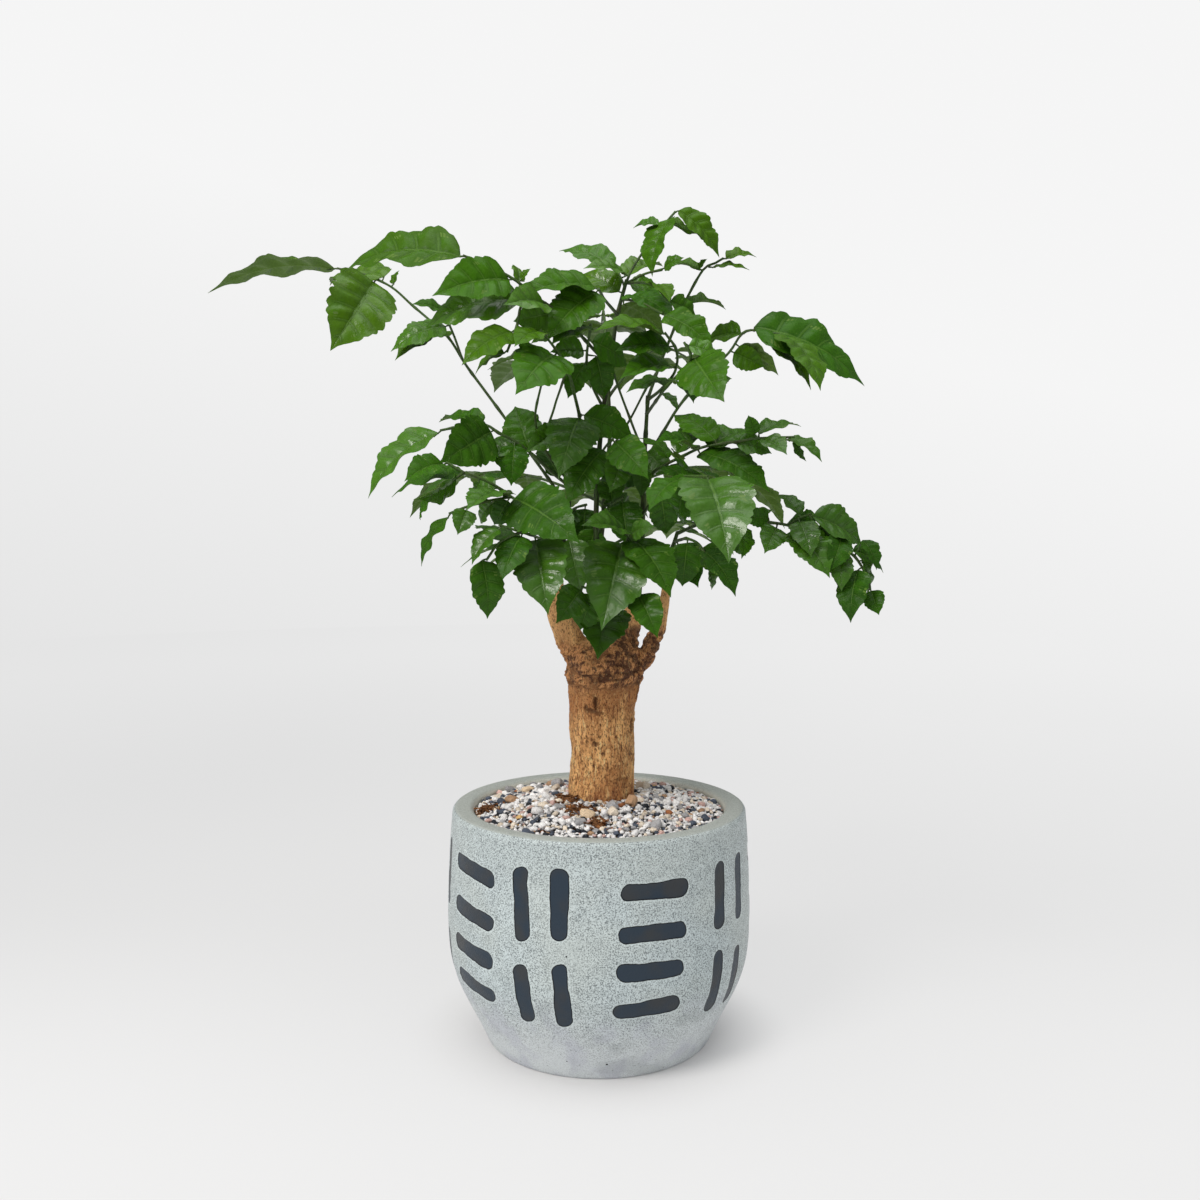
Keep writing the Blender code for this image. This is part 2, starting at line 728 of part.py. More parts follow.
def blade(leaflet, thickness=BLADE_THICKNESS, stalk=True):
    """Points and triangles of a leaflet, both of its faces split alike, and its stalk's end."""
    large = leaflet.length > LARGE_LENGTH * MM
    edge = LARGE_EDGE if large else SMALL_EDGE
    rib = LARGE_RIB if large else SMALL_RIB
    half = thickness * MM / 2
    sheet = []
    if stalk:
        across = leaflet.stalk_side * STALK_WIDTH * MM / 2
        sheet += [leaflet.root + across, leaflet.root - across]
    across = leaflet.base_side * STALK_WIDTH * MM / 2
    start = len(sheet)
    sheet += [leaflet.base + across, leaflet.base - across]
    chains = []
    for hand in (1, -1):
        chain = [(0, start if hand == 1 else start + 1)]
        for t, share in edge:
            place = t + hand * EDGE_SKEW
            chain.append((place, len(sheet)))
            sheet.append(leaflet.place(place, hand * share))
        chains.append(chain)
    ribs = []
    for t in rib:
        ribs.append((t, len(sheet)))
        sheet.append(leaflet.place(t, 0))
    tip = len(sheet)
    sheet.append(leaflet.place(1, 0))
    for chain in chains:
        chain.append((1, tip))
    ribs.append((1, tip))
    faces = [(start, start + 1, ribs[0][1])]
    if stalk:
        faces += [(0, 1, start + 1), (0, start + 1, start)]
    for hand, chain in zip((1, -1), chains):
        for face in zip_faces(chain, ribs):
            faces.append(face if hand == 1 else face[::-1])
    rim = [index for _, index in chains[0]] + [index for _, index in reversed(chains[1][:-1])]
    if stalk:
        rim += [1, 0]
    count = len(sheet)
    lifts = [leaflet.stalk_lift * half] * start + [leaflet.normal * half] * (count - start)
    points = [place + lift for place, lift in zip(sheet, lifts)]
    points += [place - lift for place, lift in zip(sheet, lifts)]
    faces += [tuple(count + index for index in reversed(face)) for face in faces]
    for here, after in zip(rim, rim[1:] + rim[:1]):
        faces.append((here, after, count + after))
        faces.append((here, count + after, count + here))
    return points, faces


def drawn_leaflet(row, routes, phase, shift=0.0, turn=1):
    """A leaflet from its row of the drawing, its tip moved along the line of sight by a shift."""
    base_across, base_height, tip_across, tip_height, seen_width, face = row[:6]
    root = nearest_on(routes, base_across, base_height)
    depth = root.y / MM
    base = from_drawing(base_across, base_height, depth)
    drawn_length = math.hypot(tip_across - base_across, tip_height - base_height)
    if len(row) > 6:
        behind = row[6]
    else:
        real_length = max(drawn_length, seen_width / LEAFLET_WIDTH)
        behind = -math.sqrt(real_length ** 2 - drawn_length ** 2)
    tip = from_drawing(tip_across, tip_height, depth + behind + shift)
    reach = (depth - EYE[1]) / -EYE[1]
    seen = seen_width * reach * MM
    width = max(seen, LEAFLET_WIDTH * (tip - base).length)
    along = (tip - base).normalized()
    sight = Vector((EYE[0], EYE[1], EYE[2])) * MM - base.lerp(tip, 0.5)
    facing = (sight - along * sight.dot(along)).normalized()
    lean = along.cross(facing)
    if lean.z < 0:
        lean = -lean
    share = seen / width
    normal = facing * share * face + lean * math.sqrt(1 - share ** 2) * turn
    return Leaflet(root, base, tip, normal, width, phase)


def grown_leaflet(root, direction, length, phase, shift=0.0):
    """A leaflet that the drawing doesn't show, its top turned up."""
    tip = root + (direction * length + Vector((0, 0, shift))) * MM
    along = (tip - root).normalized()
    up = Vector((0, 0, 1))
    return Leaflet(root, root, tip, up - along * up.dot(along), LEAFLET_WIDTH * length * MM, phase)


def drawn_routes(leaf, stem_route):
    """The real routes of a leaf's rachis and twigs, each starting on what carries it."""
    routes = []
    for drawn in leaf["routes"]:
        carriers = [stem_route] + routes
        start = nearest_on(carriers, drawn[0][0], drawn[0][1])
        places = [from_drawing(across, height, depth * DEPTH_SPREAD) for across, height, depth in drawn[1:]]
        routes.append(smooth_route([start] + places, ROUTE_STEP * MM))
    return routes


def seated_route(name):
    """The route of a leafy stem, squarely on the end of its limb."""
    limb, drawn = STEMS[name]
    before, end = [from_drawing(*point[:3]) for point in LIMBS[limb][-2:]]
    ahead = (end - before).normalized()
    seat = end + ahead * (TUBE_END + GAP) * MM
    places = [seat, seat + ahead * STEM_SEAT * MM] + [from_drawing(*point) for point in drawn]
    return smooth_route(places, ROUTE_STEP * MM)


def back_route(stem_route, height, bearing, reach, rise):
    """The arching rachis of a leaf at the back."""
    start = nearest_on([stem_route], to_drawing(stem_route[0]).x, height)
    outward = Vector((math.cos(math.radians(bearing)), math.sin(math.radians(bearing)), 0))
    places = []
    for share in (0, 0.25, 0.5, 0.75, 1):
        lift = rise * math.sin(share * math.pi * 0.62)
        places.append(start + (outward * reach * share + Vector((0, 0, lift))) * MM)
    return smooth_route(places, ROUTE_STEP * MM)


def along_route(route, share):
    place = share * (len(route) - 1)
    index = min(int(place), len(route) - 2)
    return route[index].lerp(route[index + 1], place - index), (route[index + 1] - route[index]).normalized()


def back_leaflet_makers(route, draw):
    """One maker for each leaflet of a leaf at the back: pairs along its rachis and one at the end."""
    makers = []
    for share in BACK_PAIRS:
        for hand in (1, -1):
            root, ahead = along_route(route, share)
            turn = math.radians(hand * (BACK_SPREAD + draw.uniform(-8, 8)))
            flat = Vector((
                ahead.x * math.cos(turn) - ahead.y * math.sin(turn),
                ahead.x * math.sin(turn) + ahead.y * math.cos(turn),
                -BACK_SAG + draw.uniform(-0.12, 0.12),
            )).normalized()
            length = draw.uniform(*BACK_LEAFLET_LENGTH)
            phase = draw.uniform(0, 6)
            makers.append(lambda shift, turn=1, r=root, d=flat, n=length, p=phase: grown_leaflet(r, d, n, p, shift))
    root, ahead = along_route(route, 1)
    drop = Vector((ahead.x, ahead.y, -BACK_SAG)).normalized()
    length = BACK_LEAFLET_LENGTH[1]
    makers.append(lambda shift, turn=1, r=root, d=drop, n=length: grown_leaflet(r, d, n, 1.0, shift))
    return makers


def tree_of(shape):
    return BVHTree.FromPolygons(shape[0], shape[1])


def settle(maker, own, trees):
    """The leaflet nearest to its drawn place that passes what is there already, and its tree.

    A leaflet may cross its own stem and petioles, which it is fused with, but no other leaflet.
    """
    least = None
    for turn in (1, -1):
        for shift in CLEARING_STEPS:
            leaflet = maker(shift, turn)
            tree = tree_of(blade(leaflet, CLEARANCE, stalk=False))
            touching = sum(len(tree.overlap(other)) for owner, other in trees if owner != own)
            if least is None or touching < least:
                least = touching
                best = leaflet, tree
            if touching == 0:
                return best
    return best


def grow_foliage():
    """Routes and leaflets of every leafy stem, by the stem's name."""
    grown = {}
    trees = []
    waiting = []
    stem_routes = {}
    for name in STEMS:
        stem_routes[name] = seated_route(name)
        grown[name] = {"tubes": [(stem_routes[name], STEM_RADIUS, STEM_SIDES)], "leaflets": []}
    for leaf in LEAVES.values():
        routes = drawn_routes(leaf, stem_routes[leaf["stem"]])
        for index, route in enumerate(routes):
            radii = TWIG_RADIUS if index else PETIOLE_RADIUS
            grown[leaf["stem"]]["tubes"].append((route, radii, PETIOLE_SIDES))
        carriers = [stem_routes[leaf["stem"]]] + routes
        for number, row in enumerate(leaf["leaflets"]):
            maker = lambda shift, turn=1, r=row, c=carriers, p=number * 1.7: drawn_leaflet(r, c, p, shift, turn)
            waiting.append((leaf["stem"], maker))
    draw = random.Random(BACK_SEED)
    for height, bearing, reach, rise in BACK_LEAVES:
        route = back_route(stem_routes["back"], height, bearing, reach, rise)
        grown["back"]["tubes"].append((route, PETIOLE_RADIUS, PETIOLE_SIDES))
        for maker in back_leaflet_makers(route, draw):
            waiting.append(("back", maker))
    for stem, parts in grown.items():
        trees += [(stem, tree_of(tube(*part))) for part in parts["tubes"]]
    for stem, maker in waiting:
        leaflet, tree = settle(maker, stem, trees)
        trees.append(("any", tree))
        grown[stem]["leaflets"].append(leaflet)
    return grown


def union(name, shapes, finish, smooth_angle):
    """One closed body from shapes that overlap."""
    first = mesh_object(name, *shapes[0], finish)
    parts = bpy.data.collections.new(name + " parts")
    bpy.context.scene.collection.children.link(parts)
    for number, shape in enumerate(shapes[1:]):
        part = mesh_object("%s part %d" % (name, number), *shape)
        bpy.context.scene.collection.objects.unlink(part)
        parts.objects.link(part)
    join = first.modifiers.new("join", "BOOLEAN")
    join.operation = "UNION"
    join.operand_type = "COLLECTION"
    join.collection = parts
    join.solver = "MANIFOLD"
    graph = bpy.context.evaluated_depsgraph_get()
    joined = bpy.data.meshes.new_from_object(first.evaluated_get(graph))
    first.modifiers.remove(join)
    first.data = joined
    for part in list(parts.objects):
        bpy.data.objects.remove(part)
    bpy.data.collections.remove(parts)
    joined.shade_smooth()
    joined.set_sharp_from_angle(angle=math.radians(smooth_angle))
    return first


def trunk_shape():
    """The trunk from its buried foot to its crown, round below the pebbles and lobed above them."""
    rings = [(radius, height, TRUNK_MIDDLE) for radius, height in TRUNK_FOOT] + list(TRUNK_STEM)
    clear = TRUNK_FOOT[-1][1]
    points = []
    for radius, height, middle in rings:
        lobe = TRUNK_LOBE if height > clear else 0
        for side in range(TRUNK_SIDES):
            angle = 2 * math.pi * side / TRUNK_SIDES
            waves = sum(share * math.sin(count * angle + height * turn) for count, turn, share in TRUNK_LOBES)
            swell = 1 + lobe * waves
            points.append(Vector((
                middle + radius * swell * math.cos(angle),
                radius * swell * math.sin(angle),
                height,
            )) * MM)
    faces = ring_faces(len(rings), TRUNK_SIDES)
    top = len(points)
    points.append(Vector((rings[-1][2], 0, TRUNK_TOP)) * MM)
    last = (len(rings) - 1) * TRUNK_SIDES
    for side in range(TRUNK_SIDES):
        faces.append((top, last + side, last + (side + 1) % TRUNK_SIDES))
    faces.append(tuple(range(TRUNK_SIDES)))
    return points, faces


def make_trunk(finish):
    """The trunk with its knobbly crown and its limbs, which grew as one piece."""
    shapes = [trunk_shape()]
    for route in LIMBS.values():
        places = [from_drawing(*point[:3]) for point in route]
        shapes.append(tube(places, [point[3] for point in route], LIMB_SIDES))
    return union("trunk", shapes, finish, BARK_SHARP)


def make_foliage(finish):
    for stem, parts in grow_foliage().items():
        shapes = [tube(*part) for part in parts["tubes"]]
        shapes += [blade(leaflet) for leaflet in parts["leaflets"]]
        union("leafy_stem_" + stem.replace(" ", "_"), shapes, finish, LEAF_SHARP)


def main():
    clear_scene()
    make_pot(material("glaze", GLAZE_GREY, 0.5))
    make_soil(material("soil", SOIL_BROWN, 0.95))
    make_gravel(material("pebbles", PEBBLE_GREY, 0.7))
    make_trunk(material("bark", BARK_BROWN, 0.85))
    make_foliage(material("foliage", FOLIAGE_GREEN, 0.35))


if __name__ == "__main__":
    main()
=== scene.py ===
"""Potted china doll plant: its glazed pot, pebbles, bark and leaves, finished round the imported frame.

Lengths are in metres unless a name's comment says millimetres. Heights start at the underside of
the pot. The foliage is written down in millimetres, as drawn on the upright plane through the
trunk, and grows by the same rules as its solids, so that each fine leaflet lies where its solid
lies.
"""

import math
import random
from collections import namedtuple
from functools import partial

import bmesh
import bpy
from bpy.props import FloatProperty, FloatVectorProperty, IntProperty, PointerProperty
from mathutils import Euler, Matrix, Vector, noise
from mathutils.bvhtree import BVHTree


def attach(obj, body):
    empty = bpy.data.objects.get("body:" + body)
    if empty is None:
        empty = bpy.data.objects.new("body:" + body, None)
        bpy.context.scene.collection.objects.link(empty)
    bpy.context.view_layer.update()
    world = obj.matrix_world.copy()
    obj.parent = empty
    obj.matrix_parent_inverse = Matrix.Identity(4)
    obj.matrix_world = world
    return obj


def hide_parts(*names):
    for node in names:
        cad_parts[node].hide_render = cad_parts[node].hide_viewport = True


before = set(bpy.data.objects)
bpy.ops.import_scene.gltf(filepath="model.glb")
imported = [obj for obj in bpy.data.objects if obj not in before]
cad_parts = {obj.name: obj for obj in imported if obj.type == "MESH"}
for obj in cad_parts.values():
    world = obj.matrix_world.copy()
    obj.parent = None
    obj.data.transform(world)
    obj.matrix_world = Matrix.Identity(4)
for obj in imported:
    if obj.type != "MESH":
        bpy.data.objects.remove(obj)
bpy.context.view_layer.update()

bl_info = {
    "name": "Potted china doll plant",
    "version": (1, 0, 0),
    "blender": (4, 5, 0),
    "location": "3D View > Sidebar > Plant",
    "description": "Builds a potted china doll plant round its packed frame",
    "category": "Object",
}

MM = 0.001
BODY = "root"

# Clear gaps between neighbouring pieces, in millimetres
GAP = 0.3
SIDE_GAP = 0.45

# Driving sizes of the pot, its filling and the trunk, in millimetres
POT_HEIGHT = 175
POT_WALL = (
    (84, 0), (87, 5), (93, 18), (100, 32), (105, 42.5), (109, 53), (112, 66), (113.4, 84), (113.4, 108),
    (112, 142),
)
LIP_OUTER = 110
LIP_INNER = 94
LIP_ROUND = 6
POT_INSIDE = ((97, 130), (97, 80), (91, 50), (80, 28), (66, 17))
POT_FLOOR = 15
POT_FLOOR_RADIUS = 58

SOIL_EDGE_TOP = 158
SOIL_CROWN_TOP = 168
GRAVEL_EDGE_TOP = 167
GRAVEL_CROWN_TOP = 181
PEBBLE_SEED = 31

TRUNK_MIDDLE = 2
TRUNK_FOOT = ((20, 112), (25, 124), (25, 184))
TRUNK_STEM = (
    (23.8, 200, 2.8), (23.8, 220, 3.2), (24.6, 240, 2.8), (25.6, 258, 2.8),
    (27.8, 270, 3.2), (28.8, 281, 3.4), (26.5, 291, 3.4), (19, 299, 3.2),
)
TRUNK_TOP = 303
TRUNK_LOBE = 0.035
# Lobes round the trunk: how many, how far they turn a millimetre of height, and their share
TRUNK_LOBES = ((3, 0.05, 1), (5, -0.11, 0.6))

# The eye that the foliage was drawn from, in millimetres: across, depth, height
EYE = (0.8, -892, 397)

# Each limb of the trunk: route as drawn (across, height, depth) with its radius there
LIMBS = {
    "left": (
        (-6, 262, 0, 12), (-14, 284, -2, 11), (-23, 303, -4, 10), (-31.5, 322, -5, 8), (-31, 343, -5, 4.6),
    ),
    "middle": ((3, 284, 0, 11), (5, 305, 0, 8)),
    "right": ((10, 262, 3, 13), (15.5, 287, 4, 13), (20, 304, 5, 11), (27, 320, 6, 7.5)),
    "low right": (
        (22, 268, -4, 8), (35.5, 288, -6, 6.2), (44, 307, -8, 5), (49, 328, -8, 4), (50, 338, -8, 3.2),
    ),
    "front": ((4, 280, -10, 8), (4, 298, -20, 6)),
    "back": ((2, 268, 8, 10), (4, 292, 22, 9), (2, 309, 26, 7)),
}

# Each leafy stem: the limb whose end it stands on, and its route from there as drawn
STEMS = {
    "left": ("left", ((-27, 372, -4), (-23, 398, -6), (-18, 432, -9), (-14, 465, -12))),
    "middle": (
        "middle",
        ((0, 340, 0), (-2, 380, 0), (-1, 420, 0), (3, 468, 0), (9, 505, 0), (13, 535, 0), (20, 562, -4)),
    ),
    "right": ("right", ((31, 360, 7), (33, 400, 7), (34, 440, 7), (36, 478, 7))),
    "low right": ("low right", ((53, 360, -10), (58, 378, -13))),
    "front": ("front", ((6, 330, -34), (14, 352, -50), (22, 374, -62))),
    "back": ("back", ((0, 350, 32), (4, 400, 38), (8, 450, 42), (6, 496, 46))),
}
STEM_SEAT = 4
STEM_RADIUS = (2.8, 1.6)
PETIOLE_RADIUS = (1.7, 1.15)
TWIG_RADIUS = (1.25, 1.15)
STEM_SIDES = 6
PETIOLE_SIDES = 4
ROUTE_STEP = 25
TUBE_END = 1.2

# The leaves reach this much further to the front and back than their written depths
DEPTH_SPREAD = 1.45

# Each compound leaf: its stem, its rachis and side twigs as drawn (across, height, depth), and its
# leaflets (base across and height, tip across and height, seen width, then how far the tip lies
# behind its base, where that isn't left to the width). A width below 0 shows the underside. A route
# starts on what carries it, so its first point needs no depth.
Leaf = namedtuple("Leaf", "stem routes leaflets")
LEAVES = {
    "far left": Leaf("left", (
        ((-24, 394), (-33, 412, 6), (-50, 436, 12), (-73, 468, 18), (-98, 502, 24), (-110, 521, 26),
         (-137, 545, 28), (-152, 558, 28), (-172, 567, 28), (-190, 571, 28)),
        ((-100, 506), (-106, 522, 14), (-112, 536, 8)),
    ), (
        (-192, 571, -286, 554, -14, -10), (-163, 563, -197, 512, 44), (-157, 565, -197, 560, 8, 30),
        (-150, 560, -146, 570, 4, 8), (-110, 524, -150, 506, 14, -34), (-111, 530, -153, 512, 16, -14),
        (-113, 539, -137, 546, 7, -12),
    )),
    "upper left": Leaf("middle", (
        ((8, 500), (-6, 515, -14), (-18, 528, -26), (-30, 540, -36), (-50, 553, -46), (-60, 562, -50),
         (-80, 573, -54), (-98, 580, -56)),
        ((-48, 552), (-57, 544, -52), (-60, 530, -58), (-67, 512, -60)),
    ), (
        (-98, 580, -187, 571, 24, 24), (-63, 563, -122, 552, 29, -24), (-57, 561, -62, 574, 7, 14),
        (-58, 562, -50, 571, 4, 12), (-57, 548, -128, 529, 27, 14), (-61, 527, -101, 502, 20, -18),
        (-68, 511, -91, 495, 6, 14), (-38, 545, -70, 545, 20, -36),
    )),
    "top": Leaf("middle", (
        ((13, 538), (4, 549, -16), (0, 556, -28)),
        ((19, 560), (25, 572, -4), (36, 588, -2), (48, 603, 0), (55, 611, 0)),
        ((20, 560), (33, 567, -12), (45, 570, -20)),
        ((19, 558), (13, 571, 8)),
        ((16, 549), (30, 547, -26), (46, 539, -42)),
        ((20, 561), (38, 560, -24), (50, 549, -40)),
    ), (
        (0, 556, -38, 520, 28, -22), (-3, 557, -60, 551, 15, 10), (13, 571, -29, 584, 14, 26),
        (19, 567, -11, 572, 8, -16), (18, 565, 47, 573, 10, 30), (45, 570, 62, 579, 8, -10),
        (22, 551, 55, 533, 16, -34), (45, 538, 84, 512, 18, -12), (18, 547, 48, 524, -18, 26),
        (38, 560, 52, 548, 10, -30), (50, 548, 72, 532, 12, -18), (54, 609, 38, 566, 16, -14),
        (57, 612, 88, 579, 14, 6), (51, 604, 79, 588, 4, 28), (44, 602, 25, 600, 5, 12),
    )),
    "small top right": Leaf("right", (
        ((36, 477), (46, 505, 20), (56, 530, 22), (63, 547, 22), (76, 570, 20), (85, 575, 19),
         (90, 578, 18)),
    ), (
        (90, 578, 115, 580, 6, 10), (80, 572, 110, 570, 3.5, -16), (75, 571, 48, 573, 4, 16),
        (73, 571, 79, 578, 4, 6), (63, 546, 93, 542, 4, 20),
    )),
    "upper middle": Leaf("left", (
        ((-14, 464), (-18, 480, -24), (-22, 495, -34), (-29, 509, -44), (-42, 526, -52)),
    ), (
        (-32, 509, -61, 481, 40), (-22, 495, -48, 487, 8, 24), (-42, 527, -62, 515, 16, -30),
        (-14, 465, -30, 418, 36), (-12, 465, 27, 447, 22, -26),
    )),
    "middle fan": Leaf("middle", (
        ((3, 470), (-5, 487, -12), (-9, 505, -20), (-6, 530, -26)),
        ((0, 434), (5, 442, -16), (10, 447, -26)),
    ), (
        (-10, 505, -23, 477, 16, -30), (-5, 530, -35, 517, 14, -38), (-8, 520, 22, 500, 18, 24),
        (10, 447, 37, 418, 26, -26), (4, 443, -24, 400, 26, -14),
    )),
    "middle left": Leaf("left", (
        ((-21, 412), (-36, 424, -10), (-50, 437, -14), (-62, 446, -16), (-74, 452, -18), (-84, 458, -18),
         (-100, 457, -20), (-116, 454, -22)),
    ), (
        (-50, 438, -62, 472, 28, 22), (-52, 436, -81, 434, 18, 28), (-78, 453, -118, 430, 34, -34),
        (-84, 458, -118, 460, 8, 26), (-116, 453, -172, 405, 17, -8), (-62, 446, -65, 413, 20, 26),
        (-28, 418, -46, 440, 16, 24),
    )),
    "left": Leaf("left", (
        ((-27, 374), (-45, 392, -36), (-65, 405, -60), (-78, 414, -64), (-89, 419, -66), (-100, 423, -68),
         (-112, 430, -68)),
        ((-65, 405), (-82, 402, -76), (-97, 398, -82), (-110, 393, -84)),
        ((-100, 423), (-112, 414, -76), (-124, 406, -80)),
    ), (
        (-65, 405, -14, 371, 40, -40), (-67, 407, -98, 396, 12, -44), (-78, 403, -88, 385, 10, 16),
        (-97, 398, -105, 377, 16, -12), (-110, 392, -133, 354, 8, -6), (-112, 430, -144, 417, 16, -24),
        (-98, 423, -154, 406, 10, 14), (-103, 421, -135, 403, 13, -22), (-124, 405, -133, 388, 5, 2),
        (-88, 419, -91, 408, 5, -8),
    )),
    "inner left": Leaf("left", (
        ((-24, 392), (-17, 397, 12), (-10, 399, 18)),
    ), (
        (-10, 399, -13, 364, 24, -10), (-16, 396, -31, 372, 15, 12),
    )),
    "inner middle": Leaf("middle", (
        ((-2, 384), (8, 398, -10), (17, 404, -14)),
    ), (
        (17, 404, 22, 368, 24, -12), (9, 399, 12, 428, 18, 16),
    )),
    "inner right": Leaf("right", (
        ((34, 428), (27, 434, -12), (19, 436, -20)),
    ), (
        (19, 436, 8, 408, 20, -14), (28, 434, 31, 404, 15, -10),
    )),
    "low left": Leaf("left", (
        ((-29, 356), (-36, 368, -34), (-48, 376, -66), (-58, 379, -78), (-73, 384, -84)),
        ((-58, 379), (-74, 371, -82), (-83, 359, -84)),
    ), (
        (-48, 375, -38, 318, 38), (-57, 377, -72, 343, 22, -22), (-72, 384, -95, 355, 13, -10),
        (-87, 358, -83, 314, 23, 4),
    )),
    "upper right middle": Leaf("right", (
        ((36, 476), (46, 484, -10), (56, 497, -24), (57, 512, -32), (49, 524, -36)),
    ), (
        (55, 515, 12, 512, 16, -12), (48, 525, -4, 527, 8, -22), (57, 500, 15, 492, 16, -26),
        (53, 490, 20, 482, 9, -22), (45, 482, 58, 468, 6, -8),
    )),
    "upper right": Leaf("right", (
        ((34, 430), (40, 441, 14), (47, 452, 18), (58, 470, 22), (72, 487, 26), (95, 510, 28),
         (108, 526, 28), (132, 524, 24)),
    ), (
        (114, 529, 196, 487, 30, 18), (116, 524, 157, 484, 15, -22), (134, 523, 164, 484, 16, -14),
        (100, 517, 132, 494, -12, -10), (106, 525, 78, 518, 12, 24),
    )),
    "right fan": Leaf("right", (
        ((35, 466), (50, 486, -40), (67, 505, -56), (63, 517, -58)),
    ), (
        (62, 518, 92, 502, 12, 26), (70, 506, 92, 475, 38, -26), (54, 490, 70, 474, 8, -30),
    )),
    "right": Leaf("right", (
        ((33, 408), (38, 420, -10), (46, 427, -22), (60, 434, -34), (75, 441, -40), (90, 444, -43),
         (105, 446, -45), (117, 448, -46), (143, 449, -50)),
    ), (
        (78, 443, 118, 450, 14, 34), (118, 450, 149, 457, 8, 22), (116, 449, 110, 465, 10, 16),
        (119, 447, 139, 436, 13, -26), (136, 448, 165, 431, 8, -14), (146, 448, 153, 431, 6, 2),
        (86, 446, 54, 465, 18, 30), (72, 441, 42, 446, 7, -26), (74, 438, 127, 408, 20, -16),
        (52, 432, 28, 449, 8, 20), (48, 428, 64, 416, 14, -28), (62, 434, 78, 420, 14, -30),
    )),
    "front right": Leaf("right", (
        ((33, 392), (46, 410, -40), (62, 420, -70), (80, 420, -84)),
    ), (
        (62, 419, 37, 395, 18, -28), (80, 419, 97, 357, 48), (46, 409, 50, 377, 20, 14),
        (70, 420, 60, 386, 22, 10),
    )),
    "low right": Leaf("low right", (
        ((58, 378), (80, 386, -12), (112, 386, -16), (126, 386, -18), (140, 384, -19), (150, 379, -20),
         (162, 371, -21), (178, 367, -22), (190, 361, -22), (200, 345, -24), (202, 337, -24)),
        ((140, 384), (148, 389, -20), (156, 392, -22)),
    ), (
        (150, 391, 132, 407, 10, 20), (112, 388, 131, 394, 8, 22), (132, 383, 123, 363, 20, -26),
        (142, 382, 172, 345, 24, -24), (149, 380, 166, 368, 12, -24), (156, 392, 196, 368, 20, 16),
        (188, 364, 212, 349, 10, 14), (176, 366, 181, 335, 18, -16), (193, 351, 188, 311, 22, -16),
        (202, 338, 209, 317, 15, -12), (195, 358, 199, 329, 5, 16), (104, 386, 106, 359, 12, -16),
    )),
    "low right fan": Leaf("low right", (
        ((56, 372), (66, 374, -34), (75, 369, -50), (82, 354, -56)),
    ), (
        (75, 368, 102, 331, 18, -16), (82, 352, 84, 336, 6, 4), (58, 371, 74, 338, 24, -26),
    )),
    "front": Leaf("front", (
        ((6, 330), (-4, 336, -52), (-12, 338, -58)),
        ((8, 335), (19, 338, -52), (28, 335, -58)),
    ), (
        (18, 370, 2, 306, 46), (26, 373, 54, 331, 28, -36), (21, 376, -13, 384, 14, -34),
        (24, 377, 42, 383, 14, -30), (5, 322, -1, 284, 38), (-12, 338, -32, 311, 24, -24),
        (28, 334, 44, 300, 22, -18),
    )),
}

# Leaves at the back, which the drawing doesn't show: the height on the back stem that each starts
# at, its bearing (0 to the right, 90 to the back), its reach and its rise, in millimetres
BACK_LEAVES = (
    (350, 128, 118, 18), (364, 50, 124, 22), (388, 90, 142, 30), (400, 152, 126, 26), (404, 30, 116, 26),
    (472, 124, 122, 48), (478, 58, 122, 48), (494, 92, 110, 62),
)
BACK_PAIRS = (0.56, 0.86)
BACK_LEAFLET_LENGTH = (46, 64)
BACK_SPREAD = 58
BACK_SAG = 0.34
BACK_SEED = 12

# A leaflet's form: share of its length and of its half width along the edge, tip left out
LARGE_EDGE = ((0.07, 0.62), (0.26, 1.0), (0.35, 0.84), (0.56, 0.84), (0.65, 0.54), (0.85, 0.16))
SMALL_EDGE = ((0.12, 0.72), (0.38, 1.0), (0.6, 0.62), (0.84, 0.18))
LARGE_RIB = (0.22, 0.6)
SMALL_RIB = (0.4,)
LARGE_LENGTH = 54
EDGE_SKEW = 0.025
LEAFLET_WIDTH = 0.56
BLADE_ARCH = 0.1
BLADE_FOLD = 0.16
BLADE_WAVE = 0.022
STALK_WIDTH = 0.9
SHORTEST_STALK = 3
# A base nearer to its carrier than this is drawn without a stalk
SEEN_STALK = 1.5

# Steps that a leaflet's tip may be drawn back or forth to pass its neighbours, in millimetres
CLEARING_STEPS = (0, -7, 7, -14, 14, -21, 21, -28, 28, -36, 36)
CLEARANCE = 2.2

# Brush strokes that face the front: bearing (0 to the front, positive to the right), height, half
# length, half width and slope, in degrees and millimetres
FRONT_STROKES = (
    (-27.9, 129.6, 25.2, 5.9, 93.7), (-13.6, 132.4, 24.6, 6.3, 90.3),
    (-27.4, 67.3, 20.9, 5.9, 95.3), (-12.9, 69.4, 22.3, 5.7, 93.4),
    (20.2, 141.2, 24.7, 5.9, -0.8), (19.1, 112.4, 24.6, 5.9, -0.3),
    (18.3, 86.6, 24.4, 6.2, -0.9), (17.4, 60.2, 24.2, 5.8, 2.9),
    (-52.2, 144, 24.7, 5.9, -6.1), (-52.4, 113.1, 24.7, 6.1, -6.3),
    (-52.7, 85.9, 24.4, 6.1, -4.2), (-52.5, 60.7, 23.1, 5.8, -5.5),
    (48.5, 128.1, 23.4, 5.7, 87), (62.3, 127.4, 23.6, 5.5, 87),
    (46.9, 67, 22.6, 5.6, 86), (60, 64.2, 21, 5.4, 86),
)
# The pattern goes on round the back: bearings of the other pairs and stacks, and their sizes
PAIRS_AT = (125, 199, 276)
STACKS_AT = (91, 163, 235.5)
PAIR_HALF_SPREAD = 7
PAIR_ROWS = ((130, 25, 5.9), (67, 21.8, 5.7))
STACK_HEIGHTS = (142, 113, 86.5, 60)
STACK_STROKE = (24.4, 5.9)
STROKE_SEED = 5
